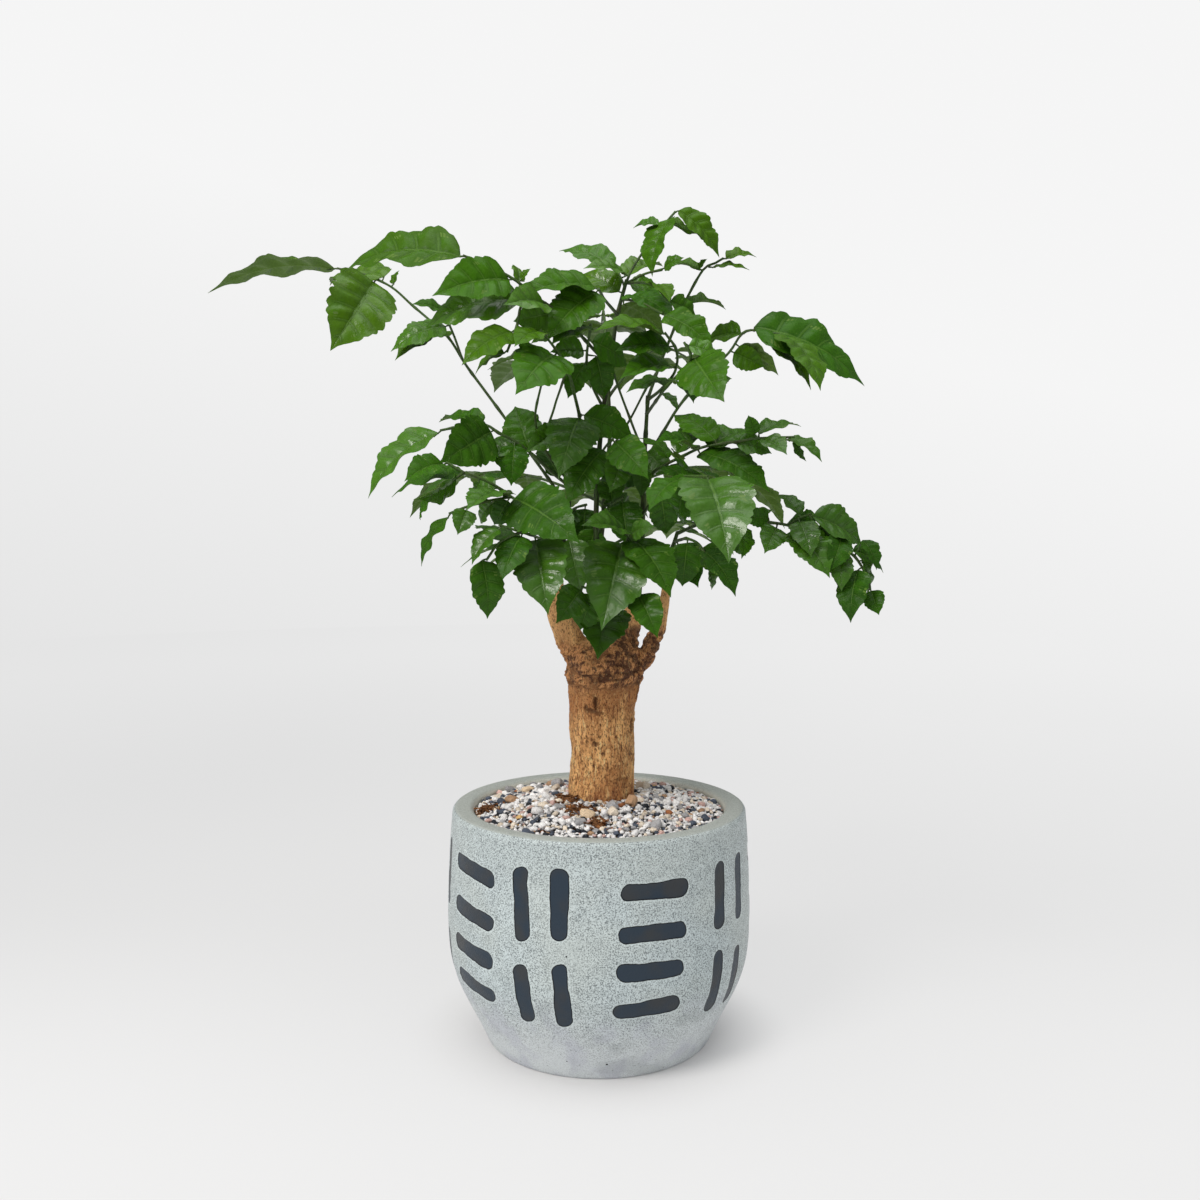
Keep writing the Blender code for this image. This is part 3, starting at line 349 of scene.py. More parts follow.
# A stroke reaches no further than this from its middle, in degrees and millimetres. Where no stroke
# is near, this gap is written down.
STROKE_REACH = (18, 36)
OPEN_GAP = 9.0
POT_FINE_SIDES = 480
# Rows round each rounded edge of the lip, how many of them still show the wall's glaze, and how
# uneven the thrown wall is
QUARTER_STEPS = 7
EDGE_STEPS = 4
POT_UNEVEN = 0.35
WALL_STEP = 1.6
SHOWN_LIP_ROUND = 4
# Radius and height of points of the pot as shown: round its foot, under its lip and across its lip
FOOT_EDGE = ((40, 0), (78, 0), (83.2, 0), (84.6, 0.6), (85.6, 2))
UNDER_LIP = (111.2, 156)
LIP_FLAT = ((103.8, 175), (101.5, 174.9), (99.5, 174.8))
# Small holes in the glaze: bearing, height and radius
PINHOLES = (
    (-11, 98, 0.75), (3.5, 14, 0.95), (-14, 15, 0.6), (-26, 24, 0.5), (12, 118, 0.45), (140, 60, 0.7),
)

# The stones' colours, by the settings' names, and how many parts of each there are
STONE_COLOURS = ("white", "cream", "grey", "slate", "black", "pink", "tan", "rust", "ochre")
COMMON_PARTS = (58, 11, 7, 14, 8, 4, 2, 1, 1)
LARGE_PARTS = (22, 26, 20, 8, 2, 6, 12, 2, 2)
# Where bark lies on the pebbles: across, depth and reach, in millimetres
MULCH_PATCHES = ((-22, -15, 9), (-15, -44, 9), (-2, -66, 6), (-86, -12, 8))
CHIPS_PER_REACH = 9
STONE_CELL = 10
SCATTER_TRIES = 14
BED_SIDES = 128
BED_RINGS = 32
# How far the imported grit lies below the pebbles' top
BED_DROP = 1.6
# Stones that stand out: across, depth, half length and colour
SET_STONES = ((-9, -53, 5.4, "sand"), (-56, 28, 5, "sand"), (22, -30, 4.8, "tan"), (-34, 30, 5, "grey"))
# How much higher those lie, as a share of their size
SET_LIFT = 0.4
CHIP_ROWS = (-1, -0.3, 0.4, 1)
CHIP_SIDES = 6
# How much higher the pebbles lie along the wall than a plain mound would
EDGE_RISE = 2

# Marks on the trunk: bearing in degrees, height, half width, half height and depth
TRUNK_MARKS = (
    (-10, 256, 1.5, 5.2, 2.2), (-17, 249, 5.5, 1.9, 1.3), (-4, 247.5, 4.5, 1.1, 1.0),
    (-28, 251, 1.8, 2.4, 1.2), (-12, 224, 2.2, 1.5, 1.1), (-17, 227, 3, 0.6, 0.6),
    (-16, 212.5, 5.5, 0.6, 0.7), (-31, 201, 0.7, 7, 0.45),
    (36, 197, 4.5, 1.6, 0.9), (44, 193, 2.6, 3.4, 0.8), (62, 236, 3, 6.5, 1.6), (74, 233, 2, 5, 1.8),
    (78, 260, 2.4, 4.5, 2.2), (20, 244, 1.2, 1.2, 0.8), (-60, 268, 7, 1.2, 1.2), (110, 240, 4, 3, 1.5),
    (150, 215, 5, 2.2, 1.4), (190, 252, 4, 4, 2.0), (232, 228, 5, 2, 1.3), (268, 206, 3, 2.4, 1.2),
)
# Scars that run round the trunk: height, half height, depth and how far they wander
TRUNK_RINGS = ((272.5, 0.9, 0.9, 1.8), (276.5, 0.7, 0.7, 2.4), (266, 0.4, 0.3, 3.0))
TRUNK_FINE_SIDES = 48
LIMB_FINE_SIDES = 18
# The heights between which the bark turns knobbly, and smooth again on the limbs, and how much
# higher the knobs reach on the right
KNOBBLY = (256, 272, 289, 307)
RIGHT_RISE = 12
# Marks and rings lie below this height and nearer than this to the trunk's axis
MARKED = (290, 34)
# How many times its own size a mark's rim may reach
MARK_REACH = 2.4

# A fine leaflet: share of its half width along its length, for a full blade and for a slim one
FULL_OUTLINE = (
    (0.0, 0.03), (0.02, 0.36), (0.05, 0.62), (0.10, 0.83), (0.17, 0.95), (0.28, 1.0), (0.40, 0.99),
    (0.52, 0.94), (0.63, 0.84), (0.73, 0.68), (0.81, 0.48), (0.88, 0.25), (0.93, 0.11), (0.97, 0.05),
    (1.0, 0.0),
)
SLIM_OUTLINE = (
    (0.0, 0.03), (0.03, 0.28), (0.08, 0.58), (0.15, 0.83), (0.25, 0.97), (0.35, 0.99), (0.46, 0.93),
    (0.57, 0.81), (0.68, 0.63), (0.78, 0.42), (0.86, 0.22), (0.92, 0.10), (0.96, 0.045), (1.0, 0.0),
)
# A fine leaflet is a large one from this share of a large solid's length
FINE_LARGE = 0.8
TEETH = {"large": 11, "small": 8}
# How far each row of a tooth stands out, as a share of a tooth
TOOTH_STEPS = {"large": (-0.7, 0.15, 0.7, 0.9), "small": (-0.6, 0.4, 0.9)}
# How much of the solid's wave a large blade loses
WAVE_CALMED = 0.6
VEINS = 6
VEIN_SLANT = 0.13
COLUMNS = {
    "large": (-1, -0.84, -0.55, -0.26, -0.05, 0, 0.05, 0.26, 0.55, 0.84, 1),
    "small": (-1, -0.72, -0.36, -0.06, 0, 0.06, 0.36, 0.72, 1),
}
FINE_ROUTE_STEP = 4
# The first tube of a stem and its petioles as shown: share of the solid's radius, sides, and how
# far apart their joints lie. Then how far a joint swells, and how far along.
STEM_LOOK = (0.85, 12, 26)
PETIOLE_LOOK = (0.75, 8, 34)
JOINT_SWELL = 0.32
JOINT_LENGTH = 3.2
STALK_FINE_SIDES = 6
# Phases of the waves of neighbouring leaflets
DRAWN_PHASE = 1.7
FILLING_PHASE = 2.3
LEAF_SEED = 77
# Leaflets are younger, and lighter with painted light, higher up between these heights; near the trunk's
# axis they are darker with painted shade, which fades out by these reaches
AGE_AND_LIGHT_HEIGHTS = (330, 600)
INNER_SHADE_REACHES = (15, 80)

# Width of a fine leaflet, as a share of its solid's, where it is seen on edge and where it is seen flat
BREADTH = (0.86, 1.12)

# Leaflets that fill the crown between those of the solids, by leaf, and thin petioles across it
FILLING = {
    "top": ((16, 554, -13, 567, 16, 14), (20, 560, 44, 556, 12, 20)),
    "upper left": ((-30, 540, -63, 533, 20, 8), (-20, 530, -50, 517, 14, 10)),
    "middle fan": ((-8, 512, -36, 511, 14, -8), (-2, 508, 4, 477, 18, -10)),
    "inner left": ((-22, 374, -13, 332, 26, -8), (-24, 392, -44, 372, 18, 12)),
    "inner middle": ((-2, 384, -12, 350, 22, 10), (4, 400, 30, 380, 18, 14)),
    "inner right": ((34, 440, 52, 421, 20, -16), (34, 428, 14, 414, 16, 12)),
    "right": ((58, 437, 84, 457, 14, 22), (98, 446, 128, 437, 14, -10)),
    "upper right": ((96, 512, 122, 500, 16, 12), (70, 486, 98, 492, 14, 12)),
    "middle left": ((-30, 452, -54, 438, 18, -12), (-62, 444, -98, 428, 14, -14)),
    "left": ((-66, 405, -78, 384, 18, 10), (-74, 412, -96, 409, 14, 14)),
    "low right": (
        (98, 386, 109, 361, 16, 12), (126, 388, 106, 391, 13, 12), (160, 384, 139, 386, 15, 10),
        (163, 383, 186, 368, 16, 8), (196, 373, 207, 351, 10, 6), (148, 389, 158, 360, 20, -10),
        (180, 376, 172, 350, 18, 10),
    ),
    "low right fan": ((66, 374, 62, 338, 22, 10), (75, 369, 92, 350, 18, 10)),
    "front": ((-4, 336, -14, 306, 22, 8), (24, 374, 44, 342, 22, 12)),
}
THIN_PETIOLES = (
    ("left", ((-22, 414), (-40, 440, -8), (-47, 462, -14), (-42, 489, -24), (-39, 506, -30))),
    ("left", ((-18, 432), (-36, 452, -12), (-27, 488, -26), (-23, 502, -30))),
    ("right", ((34, 436), (27, 452, -4), (14, 486, -10), (9, 502, -14))),
    ("middle", ((0, 430), (12, 445, 6), (23, 462, 10), (34, 483, 14), (42, 496, 16))),
)
THIN_RADIUS = (1.3, 1.0)

FLOOR_RINGS = 24
FLOOR_SIDES = 96
# Where the key and the top light hang and what they point at, in metres, and the top light's width
KEY_LIGHT = ((-1.15, -1.25, 1.85), (0, 0, 0.35))
TOP_LIGHT = ((0.1, -0.1, 2.4), (0, 0, 0.2))
TOP_LIGHT_WIDTH = 2.0


def turns(sides):
    """Angles that go once round in this many steps."""
    return [2 * math.pi * side / sides for side in range(sides)]


def ring_faces(ring_count, sides, closed=False):
    """Quads between neighbouring rings of points."""
    faces = []
    for ring in range(ring_count if closed else ring_count - 1):
        low, top = ring * sides, (ring + 1) % ring_count * sides
        for side in range(sides):
            after = (side + 1) % sides
            faces.append((low + side, low + after, top + after, top + side))
    return faces


def capped(ring_count, sides):
    """Quads between neighbouring rings, and a face across each end."""
    faces = ring_faces(ring_count, sides)
    faces.append(tuple(reversed(range(sides))))
    faces.append(tuple(range((ring_count - 1) * sides, ring_count * sides)))
    return faces


def inside_radius(height):
    """The radius of the pot's inner wall at a height, in millimetres."""
    wall = [(LIP_INNER, POT_HEIGHT), (LIP_INNER, POT_HEIGHT - LIP_ROUND)] + list(POT_INSIDE)
    wall.append((wall[-1][0], POT_FLOOR))
    for (radius_a, top), (radius_b, low) in zip(wall, wall[1:]):
        if low <= height <= top:
            share = (top - height) / (top - low)
            return radius_a + (radius_b - radius_a) * share
    return wall[-1][0]


def from_drawing(across, height, depth):
    """The real place of a drawn point that lies at this depth, in metres."""
    reach = (depth - EYE[1]) / -EYE[1]
    return Vector((
        EYE[0] + (across - EYE[0]) * reach,
        depth,
        EYE[2] + (height - EYE[2]) * reach,
    )) * MM


def to_drawing(place):
    """The across and height of a real place in the drawing, in millimetres."""
    reach = (place.y / MM - EYE[1]) / -EYE[1]
    return Vector((
        EYE[0] + (place.x / MM - EYE[0]) / reach,
        EYE[2] + (place.z / MM - EYE[2]) / reach,
    ))


def smooth_route(places, step):
    """A curve through the places, as points about one step apart."""
    route = [places[0]]
    for index in range(len(places) - 1):
        here, there = places[index], places[index + 1]
        before = places[index - 1] if index else here * 2 - there
        after = places[index + 2] if index + 2 < len(places) else there * 2 - here
        count = max(1, round((there - here).length / step))
        for part in range(1, count + 1):
            t = part / count
            route.append(0.5 * (
                2 * here
                + (there - before) * t
                + (2 * before - 5 * here + 4 * there - after) * t ** 2
                + (3 * here - before - 3 * there + after) * t ** 3
            ))
    return route


def nearest_on(routes, across, height):
    """The point of the routes that is drawn nearest to this place."""
    drawn = Vector((across, height))
    best = None
    for route in routes:
        for start, end in zip(route, route[1:]):
            a, b = to_drawing(start), to_drawing(end)
            along = b - a
            run = (drawn - a).dot(along) / along.length_squared if along.length else 0
            share = max(0, min(1, run))
            distance = (a + along * share - drawn).length
            if best is None or distance < best[0]:
                best = (distance, start.lerp(end, share))
    return best[1]


def tube(route, radii, sides):
    """Points and faces of a closed tube along a route, by a radius for each end or for each point."""
    points = []
    aside = None
    route = route[:-1] + [route[-1] + (route[-1] - route[-2]).normalized() * TUBE_END * MM]
    for index, place in enumerate(route):
        ahead = route[min(index + 1, len(route) - 1)] - route[max(index - 1, 0)]
        ahead.normalize()
        if aside is None:
            aside = ahead.orthogonal().normalized()
        aside = (aside - ahead * aside.dot(ahead)).normalized()
        other = ahead.cross(aside)
        if len(radii) == len(route):
            radius = radii[index]
        else:
            radius = radii[0] + (radii[1] - radii[0]) * index / (len(route) - 1)
        for angle in turns(sides):
            points.append(place + (aside * math.cos(angle) + other * math.sin(angle)) * radius * MM)
    return points, capped(len(route), sides)


class Leaflet:
    """One leaflet: where its stalk leaves the rachis, its base, its tip, and how it faces."""

    def __init__(self, root, base, tip, normal, width, phase):
        along = (tip - base).normalized()
        stalk = max((base - root).length, SHORTEST_STALK * MM)
        direction = (base - root).normalized() if (base - root).length > SEEN_STALK * MM else along
        self.root = root
        self.base = root + direction * stalk
        self.tip = tip
        self.length = (tip - self.base).length
        self.along = (tip - self.base).normalized()
        self.normal = (normal - self.along * normal.dot(self.along)).normalized()
        self.side = self.normal.cross(self.along)
        self.base_side = self.normal.cross(direction + self.along).normalized()
        self.width = width
        self.phase = phase

    def place(self, t, across, lift=0.0):
        """A point of the blade: t runs along it, across from -1 to 1 over its full width."""
        arch = BLADE_ARCH * self.length * 4 * t * (1 - t)
        fold = BLADE_FOLD * abs(across) * self.width / 2
        wave = BLADE_WAVE * self.length * across * math.sin(5 * math.pi * t + self.phase)
        return (
            self.base.lerp(self.tip, t)
            + self.side * across * self.width / 2
            + self.normal * (arch + fold + wave + lift)
        )


def zip_faces(outer, inner):
    """Triangles between two chains of (t, point) that end at one point."""
    faces = []
    i = j = 0
    while i < len(outer) - 1 or j < len(inner) - 1:
        if j == len(inner) - 1 or (i < len(outer) - 1 and outer[i + 1][0] <= inner[j + 1][0]):
            face = (outer[i][1], outer[i + 1][1], inner[j][1])
            i += 1
        else:
            face = (outer[i][1], inner[j + 1][1], inner[j][1])
            j += 1
        if len(set(face)) == 3:
            faces.append(face)
    return faces


def clear_shell(leaflet):
    """Points and triangles of a plain leaflet as thick as the room that it needs."""
    large = leaflet.length > LARGE_LENGTH * MM
    edge, rib = (LARGE_EDGE, LARGE_RIB) if large else (SMALL_EDGE, SMALL_RIB)
    across = leaflet.base_side * STALK_WIDTH * MM / 2
    sheet = [leaflet.base + across, leaflet.base - across]
    chains = []
    for start, hand in enumerate((1, -1)):
        chain = [(0, start)]
        for t, share in edge:
            chain.append((t + hand * EDGE_SKEW, len(sheet)))
            sheet.append(leaflet.place(t + hand * EDGE_SKEW, hand * share))
        chains.append(chain)
    ribs = []
    for t in rib + (1,):
        ribs.append((t, len(sheet)))
        sheet.append(leaflet.place(t, 0))
    faces = [(0, 1, ribs[0][1])]
    for hand, chain in zip((1, -1), chains):
        chain.append(ribs[-1])
        faces += [face[::hand] for face in zip_faces(chain, ribs)]
    rim = [index for _, index in chains[0]] + [index for _, index in reversed(chains[1][:-1])]
    count = len(sheet)
    lift = leaflet.normal * (CLEARANCE * MM / 2)
    points = [place + lift for place in sheet] + [place - lift for place in sheet]
    faces += [tuple(count + index for index in reversed(face)) for face in faces]
    for here, after in zip(rim, rim[1:] + rim[:1]):
        faces += [(here, after, count + after), (here, count + after, count + here)]
    return points, faces


def drawn_leaflet(row, routes, phase, shift=0.0, turn=1):
    """A leaflet from its row of the drawing, its tip moved along the line of sight by a shift."""
    base_across, base_height, tip_across, tip_height, seen_width = row[:5]
    face = math.copysign(1, seen_width)
    seen_width = abs(seen_width)
    root = nearest_on(routes, base_across, base_height)
    depth = root.y / MM
    base = from_drawing(base_across, base_height, depth)
    drawn_length = math.hypot(tip_across - base_across, tip_height - base_height)
    if len(row) > 5:
        behind = row[5]
    else:
        real_length = max(drawn_length, seen_width / LEAFLET_WIDTH)
        behind = -math.sqrt(real_length ** 2 - drawn_length ** 2)
    tip = from_drawing(tip_across, tip_height, depth + behind + shift)
    seen = seen_width * ((depth - EYE[1]) / -EYE[1]) * MM
    width = max(seen, LEAFLET_WIDTH * (tip - base).length)
    along = (tip - base).normalized()
    sight = Vector(EYE) * MM - base.lerp(tip, 0.5)
    facing = (sight - along * sight.dot(along)).normalized()
    lean = along.cross(facing)
    if lean.z < 0:
        lean = -lean
    share = seen / width
    normal = facing * share * face + lean * math.sqrt(1 - share ** 2) * turn
    return Leaflet(root, base, tip, normal, width, phase)


def grown_leaflet(root, direction, length, phase, shift=0.0, turn=1):
    """A leaflet that the drawing doesn't show, its top up whichever way it is turned."""
    tip = root + (direction * length + Vector((0, 0, shift))) * MM
    along = (tip - root).normalized()
    up = Vector((0, 0, 1))
    return Leaflet(root, root, tip, up - along * up.dot(along), LEAFLET_WIDTH * length * MM, phase)


def drawn_routes(drawings, stem_route):
    """The real routes of a leaf's rachis and twigs, each starting on what carries it."""
    routes = []
    for drawn in drawings:
        start = nearest_on([stem_route] + routes, drawn[0][0], drawn[0][1])
        places = [from_drawing(across, height, depth * DEPTH_SPREAD) for across, height, depth in drawn[1:]]
        routes.append(smooth_route([start] + places, ROUTE_STEP * MM))
    return routes


def seated_route(name):
    """The route of a leafy stem, squarely on the end of its limb."""
    limb, drawn = STEMS[name]
    before, end = [from_drawing(*point[:3]) for point in LIMBS[limb][-2:]]
    ahead = (end - before).normalized()
    seat = end + ahead * (TUBE_END + GAP) * MM
    places = [seat, seat + ahead * STEM_SEAT * MM] + [from_drawing(*point) for point in drawn]
    return smooth_route(places, ROUTE_STEP * MM)


def back_route(stem_route, height, bearing, reach, rise):
    """The arching rachis of a leaf at the back."""
    start = nearest_on([stem_route], to_drawing(stem_route[0]).x, height)
    outward = Vector((math.cos(math.radians(bearing)), math.sin(math.radians(bearing)), 0))
    places = []
    for share in (0, 0.25, 0.5, 0.75, 1):
        lift = rise * math.sin(share * math.pi * 0.62)
        places.append(start + (outward * reach * share + Vector((0, 0, lift))) * MM)
    return smooth_route(places, ROUTE_STEP * MM)


def along_route(route, share):
    place = share * (len(route) - 1)
    index = min(int(place), len(route) - 2)
    here, after = route[index:index + 2]
    return here.lerp(after, place - index), (after - here).normalized()


def back_leaflet_makers(route, draw):
    """One maker for each leaflet of a leaf at the back: pairs along its rachis and one at the end."""
    makers = []
    for share in BACK_PAIRS:
        for hand in (1, -1):
            root, ahead = along_route(route, share)
            turn = math.radians(hand * (BACK_SPREAD + draw.uniform(-8, 8)))
            flat = Vector((
                ahead.x * math.cos(turn) - ahead.y * math.sin(turn),
                ahead.x * math.sin(turn) + ahead.y * math.cos(turn),
                -BACK_SAG + draw.uniform(-0.12, 0.12),
            )).normalized()
            length = draw.uniform(*BACK_LEAFLET_LENGTH)
            makers.append(partial(grown_leaflet, root, flat, length, draw.uniform(0, 6)))
    root, ahead = along_route(route, 1)
    drop = Vector((ahead.x, ahead.y, -BACK_SAG)).normalized()
    makers.append(partial(grown_leaflet, root, drop, BACK_LEAFLET_LENGTH[1], 1.0))
    return makers


def tree_of(shape):
    return BVHTree.FromPolygons(*shape)


def settle(maker, own, trees):
    """The leaflet nearest to its drawn place that passes what is there already, and its tree.

    A leaflet may cross its own stem and petioles, which it is fused with, but no other leaflet.
    """
    least = None
    for turn in (1, -1):
        for shift in CLEARING_STEPS:
            leaflet = maker(shift, turn)
            tree = tree_of(clear_shell(leaflet))
            touching = sum(len(tree.overlap(other)) for owner, other in trees if owner != own)
            if least is None or touching < least:
                least = touching
                best = leaflet, tree
            if touching == 0:
                return best
    return best


def place_leaflets(waiting, grown, trees):
    """Grows each waiting leaflet on its stem, clear of those before it."""
    for stem, maker in waiting:
        leaflet, tree = settle(maker, stem, trees)
        trees.append(("any", tree))
        grown[stem]["leaflets"].append(leaflet)


def grow_foliage():
    """Routes and leaflets of every leafy stem, by the stem's name."""
    grown, trees, waiting, carriers = {}, [], [], {}
    stem_routes = {name: seated_route(name) for name in STEMS}
    for name, route in stem_routes.items():
        grown[name] = {"tubes": [(route, STEM_RADIUS, STEM_SIDES)], "leaflets": []}
    for title, leaf in LEAVES.items():
        routes = drawn_routes(leaf.routes, stem_routes[leaf.stem])
        for index, route in enumerate(routes):
            radii = TWIG_RADIUS if index else PETIOLE_RADIUS
            grown[leaf.stem]["tubes"].append((route, radii, PETIOLE_SIDES))
        carriers[title] = [stem_routes[leaf.stem]] + routes
        for number, row in enumerate(leaf.leaflets):
            waiting.append((leaf.stem, partial(drawn_leaflet, row, carriers[title], number * DRAWN_PHASE)))
    draw = random.Random(BACK_SEED)
    for height, bearing, reach, rise in BACK_LEAVES:
        route = back_route(stem_routes["back"], height, bearing, reach, rise)
        grown["back"]["tubes"].append((route, PETIOLE_RADIUS, PETIOLE_SIDES))
        waiting += [("back", maker) for maker in back_leaflet_makers(route, draw)]
    for stem, parts in grown.items():
        trees += [(stem, tree_of(tube(*part))) for part in parts["tubes"]]
    place_leaflets(waiting, grown, trees)
    for stem, drawn in THIN_PETIOLES:
        part = (drawn_routes([drawn], stem_routes[stem])[0], THIN_RADIUS, PETIOLE_SIDES)
        grown[stem]["tubes"].append(part)
        trees.append((stem, tree_of(tube(*part))))
    waiting = []
    for title, rows in FILLING.items():
        for number, row in enumerate(rows):
            maker = partial(drawn_leaflet, row, carriers[title], number * FILLING_PHASE)
            waiting.append((LEAVES[title].stem, maker))
    place_leaflets(waiting, grown, trees)
    return grown


MIX_SHARE, MIX_A, MIX_B, MIX_RESULT = 0, 6, 7, 2
ATTRIBUTE_FIELD = {"FLOAT": "value", "FLOAT_VECTOR": "vector", "FLOAT_COLOR": "color"}


class Shades:
    """A node tree that is put together value by value."""

    def __init__(self, tree):
        self.nodes = tree.nodes
        self.links = tree.links

    def add(self, kind, **choices):
        node = self.nodes.new("ShaderNode" + kind)
        for name, value in choices.items():
            setattr(node, name, value)
        return node

    def feed(self, socket, value):
        """Links a socket, or sets it to a number or a colour."""
        if isinstance(value, bpy.types.NodeSocket):
            self.links.new(value, socket)
        elif socket.type == "RGBA":
            socket.default_value = (*value, 1)
        else:
            socket.default_value = value

    def fill(self, node, *values):
        """Feeds a node's sockets in their order, and gives what comes out first."""
        for socket, value in zip(node.inputs, values):
            self.feed(socket, value)
        return node.outputs[0]

    def band(self, value, start, end, low=0.0, high=1.0, kind="SMOOTHSTEP"):
        """A step from low to high while the value runs from start to end."""
        if start > end:
            start, end, low, high = end, start, high, low
        return self.fill(self.add("MapRange", interpolation_type=kind), value, start, end, low, high)

    def calc(self, operation, first, second=0.0, *third):
        return self.fill(self.add("Math", operation=operation), first, second, *third)

    def times(self, product, *others):
        for other in others:
            product = self.calc("MULTIPLY", product, other)
        return product

    def plus(self, first, second):
        return self.calc("ADD", first, second)

    def minus(self, first, second):
        return self.calc("SUBTRACT", first, second)

    def most(self, first, second):
        return self.calc("MAXIMUM", first, second)

    def mix(self, share, first, second, blend="MIX"):
        node = self.add("Mix", data_type="RGBA", blend_type=blend)
        for index, value in ((MIX_SHARE, share), (MIX_A, first), (MIX_B, second)):
            self.feed(node.inputs[index], value)
        return node.outputs[MIX_RESULT]

    def split(self, vector):
        node = self.add("SeparateXYZ")
        self.feed(node.inputs[0], vector)
        return node.outputs


class Finish(Shades):
    """A procedural material, with the colour that it has so far."""

    def __init__(self, name, roughness, specular):
        self.material = bpy.data.materials.new(name)
        self.material.use_nodes = True
        super().__init__(self.material.node_tree)
        self.shader = self.nodes["Principled BSDF"]
        self.set("Roughness", roughness)
        self.set("Specular IOR Level", specular)
        self.place = self.add("TexCoord").outputs["Object"]
        self.colour = None

    def set(self, name, value):
        self.feed(self.shader.inputs[name], value)

    def over(self, tint, *shares):
        """Lays a tint over the colour, as far as the product of the shares."""
        self.colour = self.mix(self.times(*shares), self.colour, tint)

    def done(self):
        self.set("Base Color", self.colour)
        return self.material

    def reckon(self, operation, second=(0, 0, 0)):
        """What a vector sum makes of the place."""
        node = self.add("VectorMath", operation=operation)
        self.fill(node, self.place, second)
        return node.outputs

    def stretched(self, upward):
        """Places drawn out upward, for streaks."""
        return self.reckon("MULTIPLY", (1, 1, upward))[0]

    def noise(self, size, detail=2, roughness=0.5, place=None, distortion=0):
        """Noise whose lumps are about this large, in metres."""
        node = self.add("TexNoise")
        self.feed(node.inputs["Vector"], place or self.place)
        for name, value in (("Scale", 1 / size), ("Detail", detail), ("Roughness", roughness)):
            self.feed(node.inputs[name], value)
        self.feed(node.inputs["Distortion"], distortion)
        return node.outputs["Fac"]

    def cells(self, size, feature="F1"):
        """Distance to the middle, or to the edge, of cells about this large, in metres."""
        node = self.add("TexVoronoi", feature=feature)
        self.feed(node.inputs["Vector"], self.place)
        self.feed(node.inputs["Scale"], 1 / size)
        return node.outputs["Distance"]

    def attribute(self, name, output="Fac"):
        return self.add("Attribute", attribute_name=name).outputs[output]

    def near(self, place, radius):
        """1 within this radius of a place, in metres, and 0 beyond it."""
        return self.band(self.reckon("DISTANCE", place)["Value"], radius, radius * 0.7)

    def bump(self, height, distance, strength=1.0):
        """Raises the surface by this height, as the eye sees it, over what was raised before."""
        node = self.add("Bump")
        before = self.shader.inputs["Normal"].links
        if before:
            self.feed(node.inputs["Normal"], before[0].from_socket)
        for name, value in (("Strength", strength), ("Distance", distance), ("Height", height)):
            self.feed(node.inputs[name], value)
        self.set("Normal", node.outputs["Normal"])


def append_shape(points, faces, shape):
    """Adds a shape's points and faces to those of a piece."""
    first = len(points)
    points += shape[0]
    faces += [tuple(first + index for index in face) for face in shape[1]]


def place_object(name, data):
    thing = bpy.data.objects.new(name, data)
    bpy.context.scene.collection.objects.link(thing)
    return thing


def mesh_object(name, points, faces):
    mesh = bpy.data.meshes.new(name)
    mesh.from_pydata([tuple(point) for point in points], [], faces)
    return place_object(name, mesh)


def add_piece(name, points, faces, *finishing):
    """A new mesh piece of the plant."""
    return finish_piece(mesh_object(name, points, faces), *finishing)


def finish_piece(piece, finish, slot, replaced, sharp_angle=None):
    """Gives a smooth piece its material, and lets it ride with the plant."""
    piece.data.materials.clear()
    piece.data.materials.append(finish)
    piece.data.shade_smooth()
    if sharp_angle is not None:
        piece.data.set_sharp_from_angle(angle=math.radians(sharp_angle))
    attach(piece, BODY)
    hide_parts(*replaced)
    return piece


def store(piece, name, kind, values):
    """Keeps one value for each point of a mesh, for its material to read."""
    layer = piece.data.attributes.new(name, kind, "POINT")
    if kind != "FLOAT":
        values = [number for value in values for number in value]
    layer.data.foreach_set(ATTRIBUTE_FIELD[kind], values)


def smooth_step(value, start, end):
    share = max(0.0, min(1.0, (value - start) / (end - start)))
    return share * share * (3 - 2 * share)


def on_round(bearing, radius, height):
    """A place by its bearing from the front, in degrees, its radius and its height, in metres."""
    turn = math.radians(bearing)
    return Vector((radius * math.sin(turn), -radius * math.cos(turn), height)) * MM


def curve_value(points, at):
    """The value at a place between listed points."""
    for (start, low), (end, high) in zip(points, points[1:]):
        if at <= end:
            return low + (high - low) * (at - start) / (end - start)
    return points[-1][1]


def brush_strokes():
    """Each stroke on the pot: bearing, height, half length, half width, slope, and its own chances."""
    draw = random.Random(STROKE_SEED)
    strokes = list(FRONT_STROKES)
    for bearing in PAIRS_AT:
        for hand in (-1, 1):
            for row, (height, half_length, half_width) in enumerate(PAIR_ROWS):
                strokes.append((
                    bearing + hand * PAIR_HALF_SPREAD, height + draw.uniform(-1, 1),
                    half_length + draw.uniform(-0.8, 0.8), half_width * draw.uniform(0.95, 1.06),
                    90 + draw.uniform(-4, 4) * (1 + row) / 2,
                ))
    for bearing in STACKS_AT:
        for height in STACK_HEIGHTS:
            strokes.append((
                bearing + draw.uniform(-0.7, 0.7), height, STACK_STROKE[0] + draw.uniform(-0.8, 0.8),
                STACK_STROKE[1] * draw.uniform(0.95, 1.06), draw.uniform(-4, 4),
            ))
    chances = [
        (draw.uniform(-0.1, 0.1), draw.uniform(-0.22, 0.22), draw.uniform(0.8, 1.0), draw.uniform(0, 90))
        for _ in strokes
    ]
    return [stroke + chance for stroke, chance in zip(strokes, chances)]


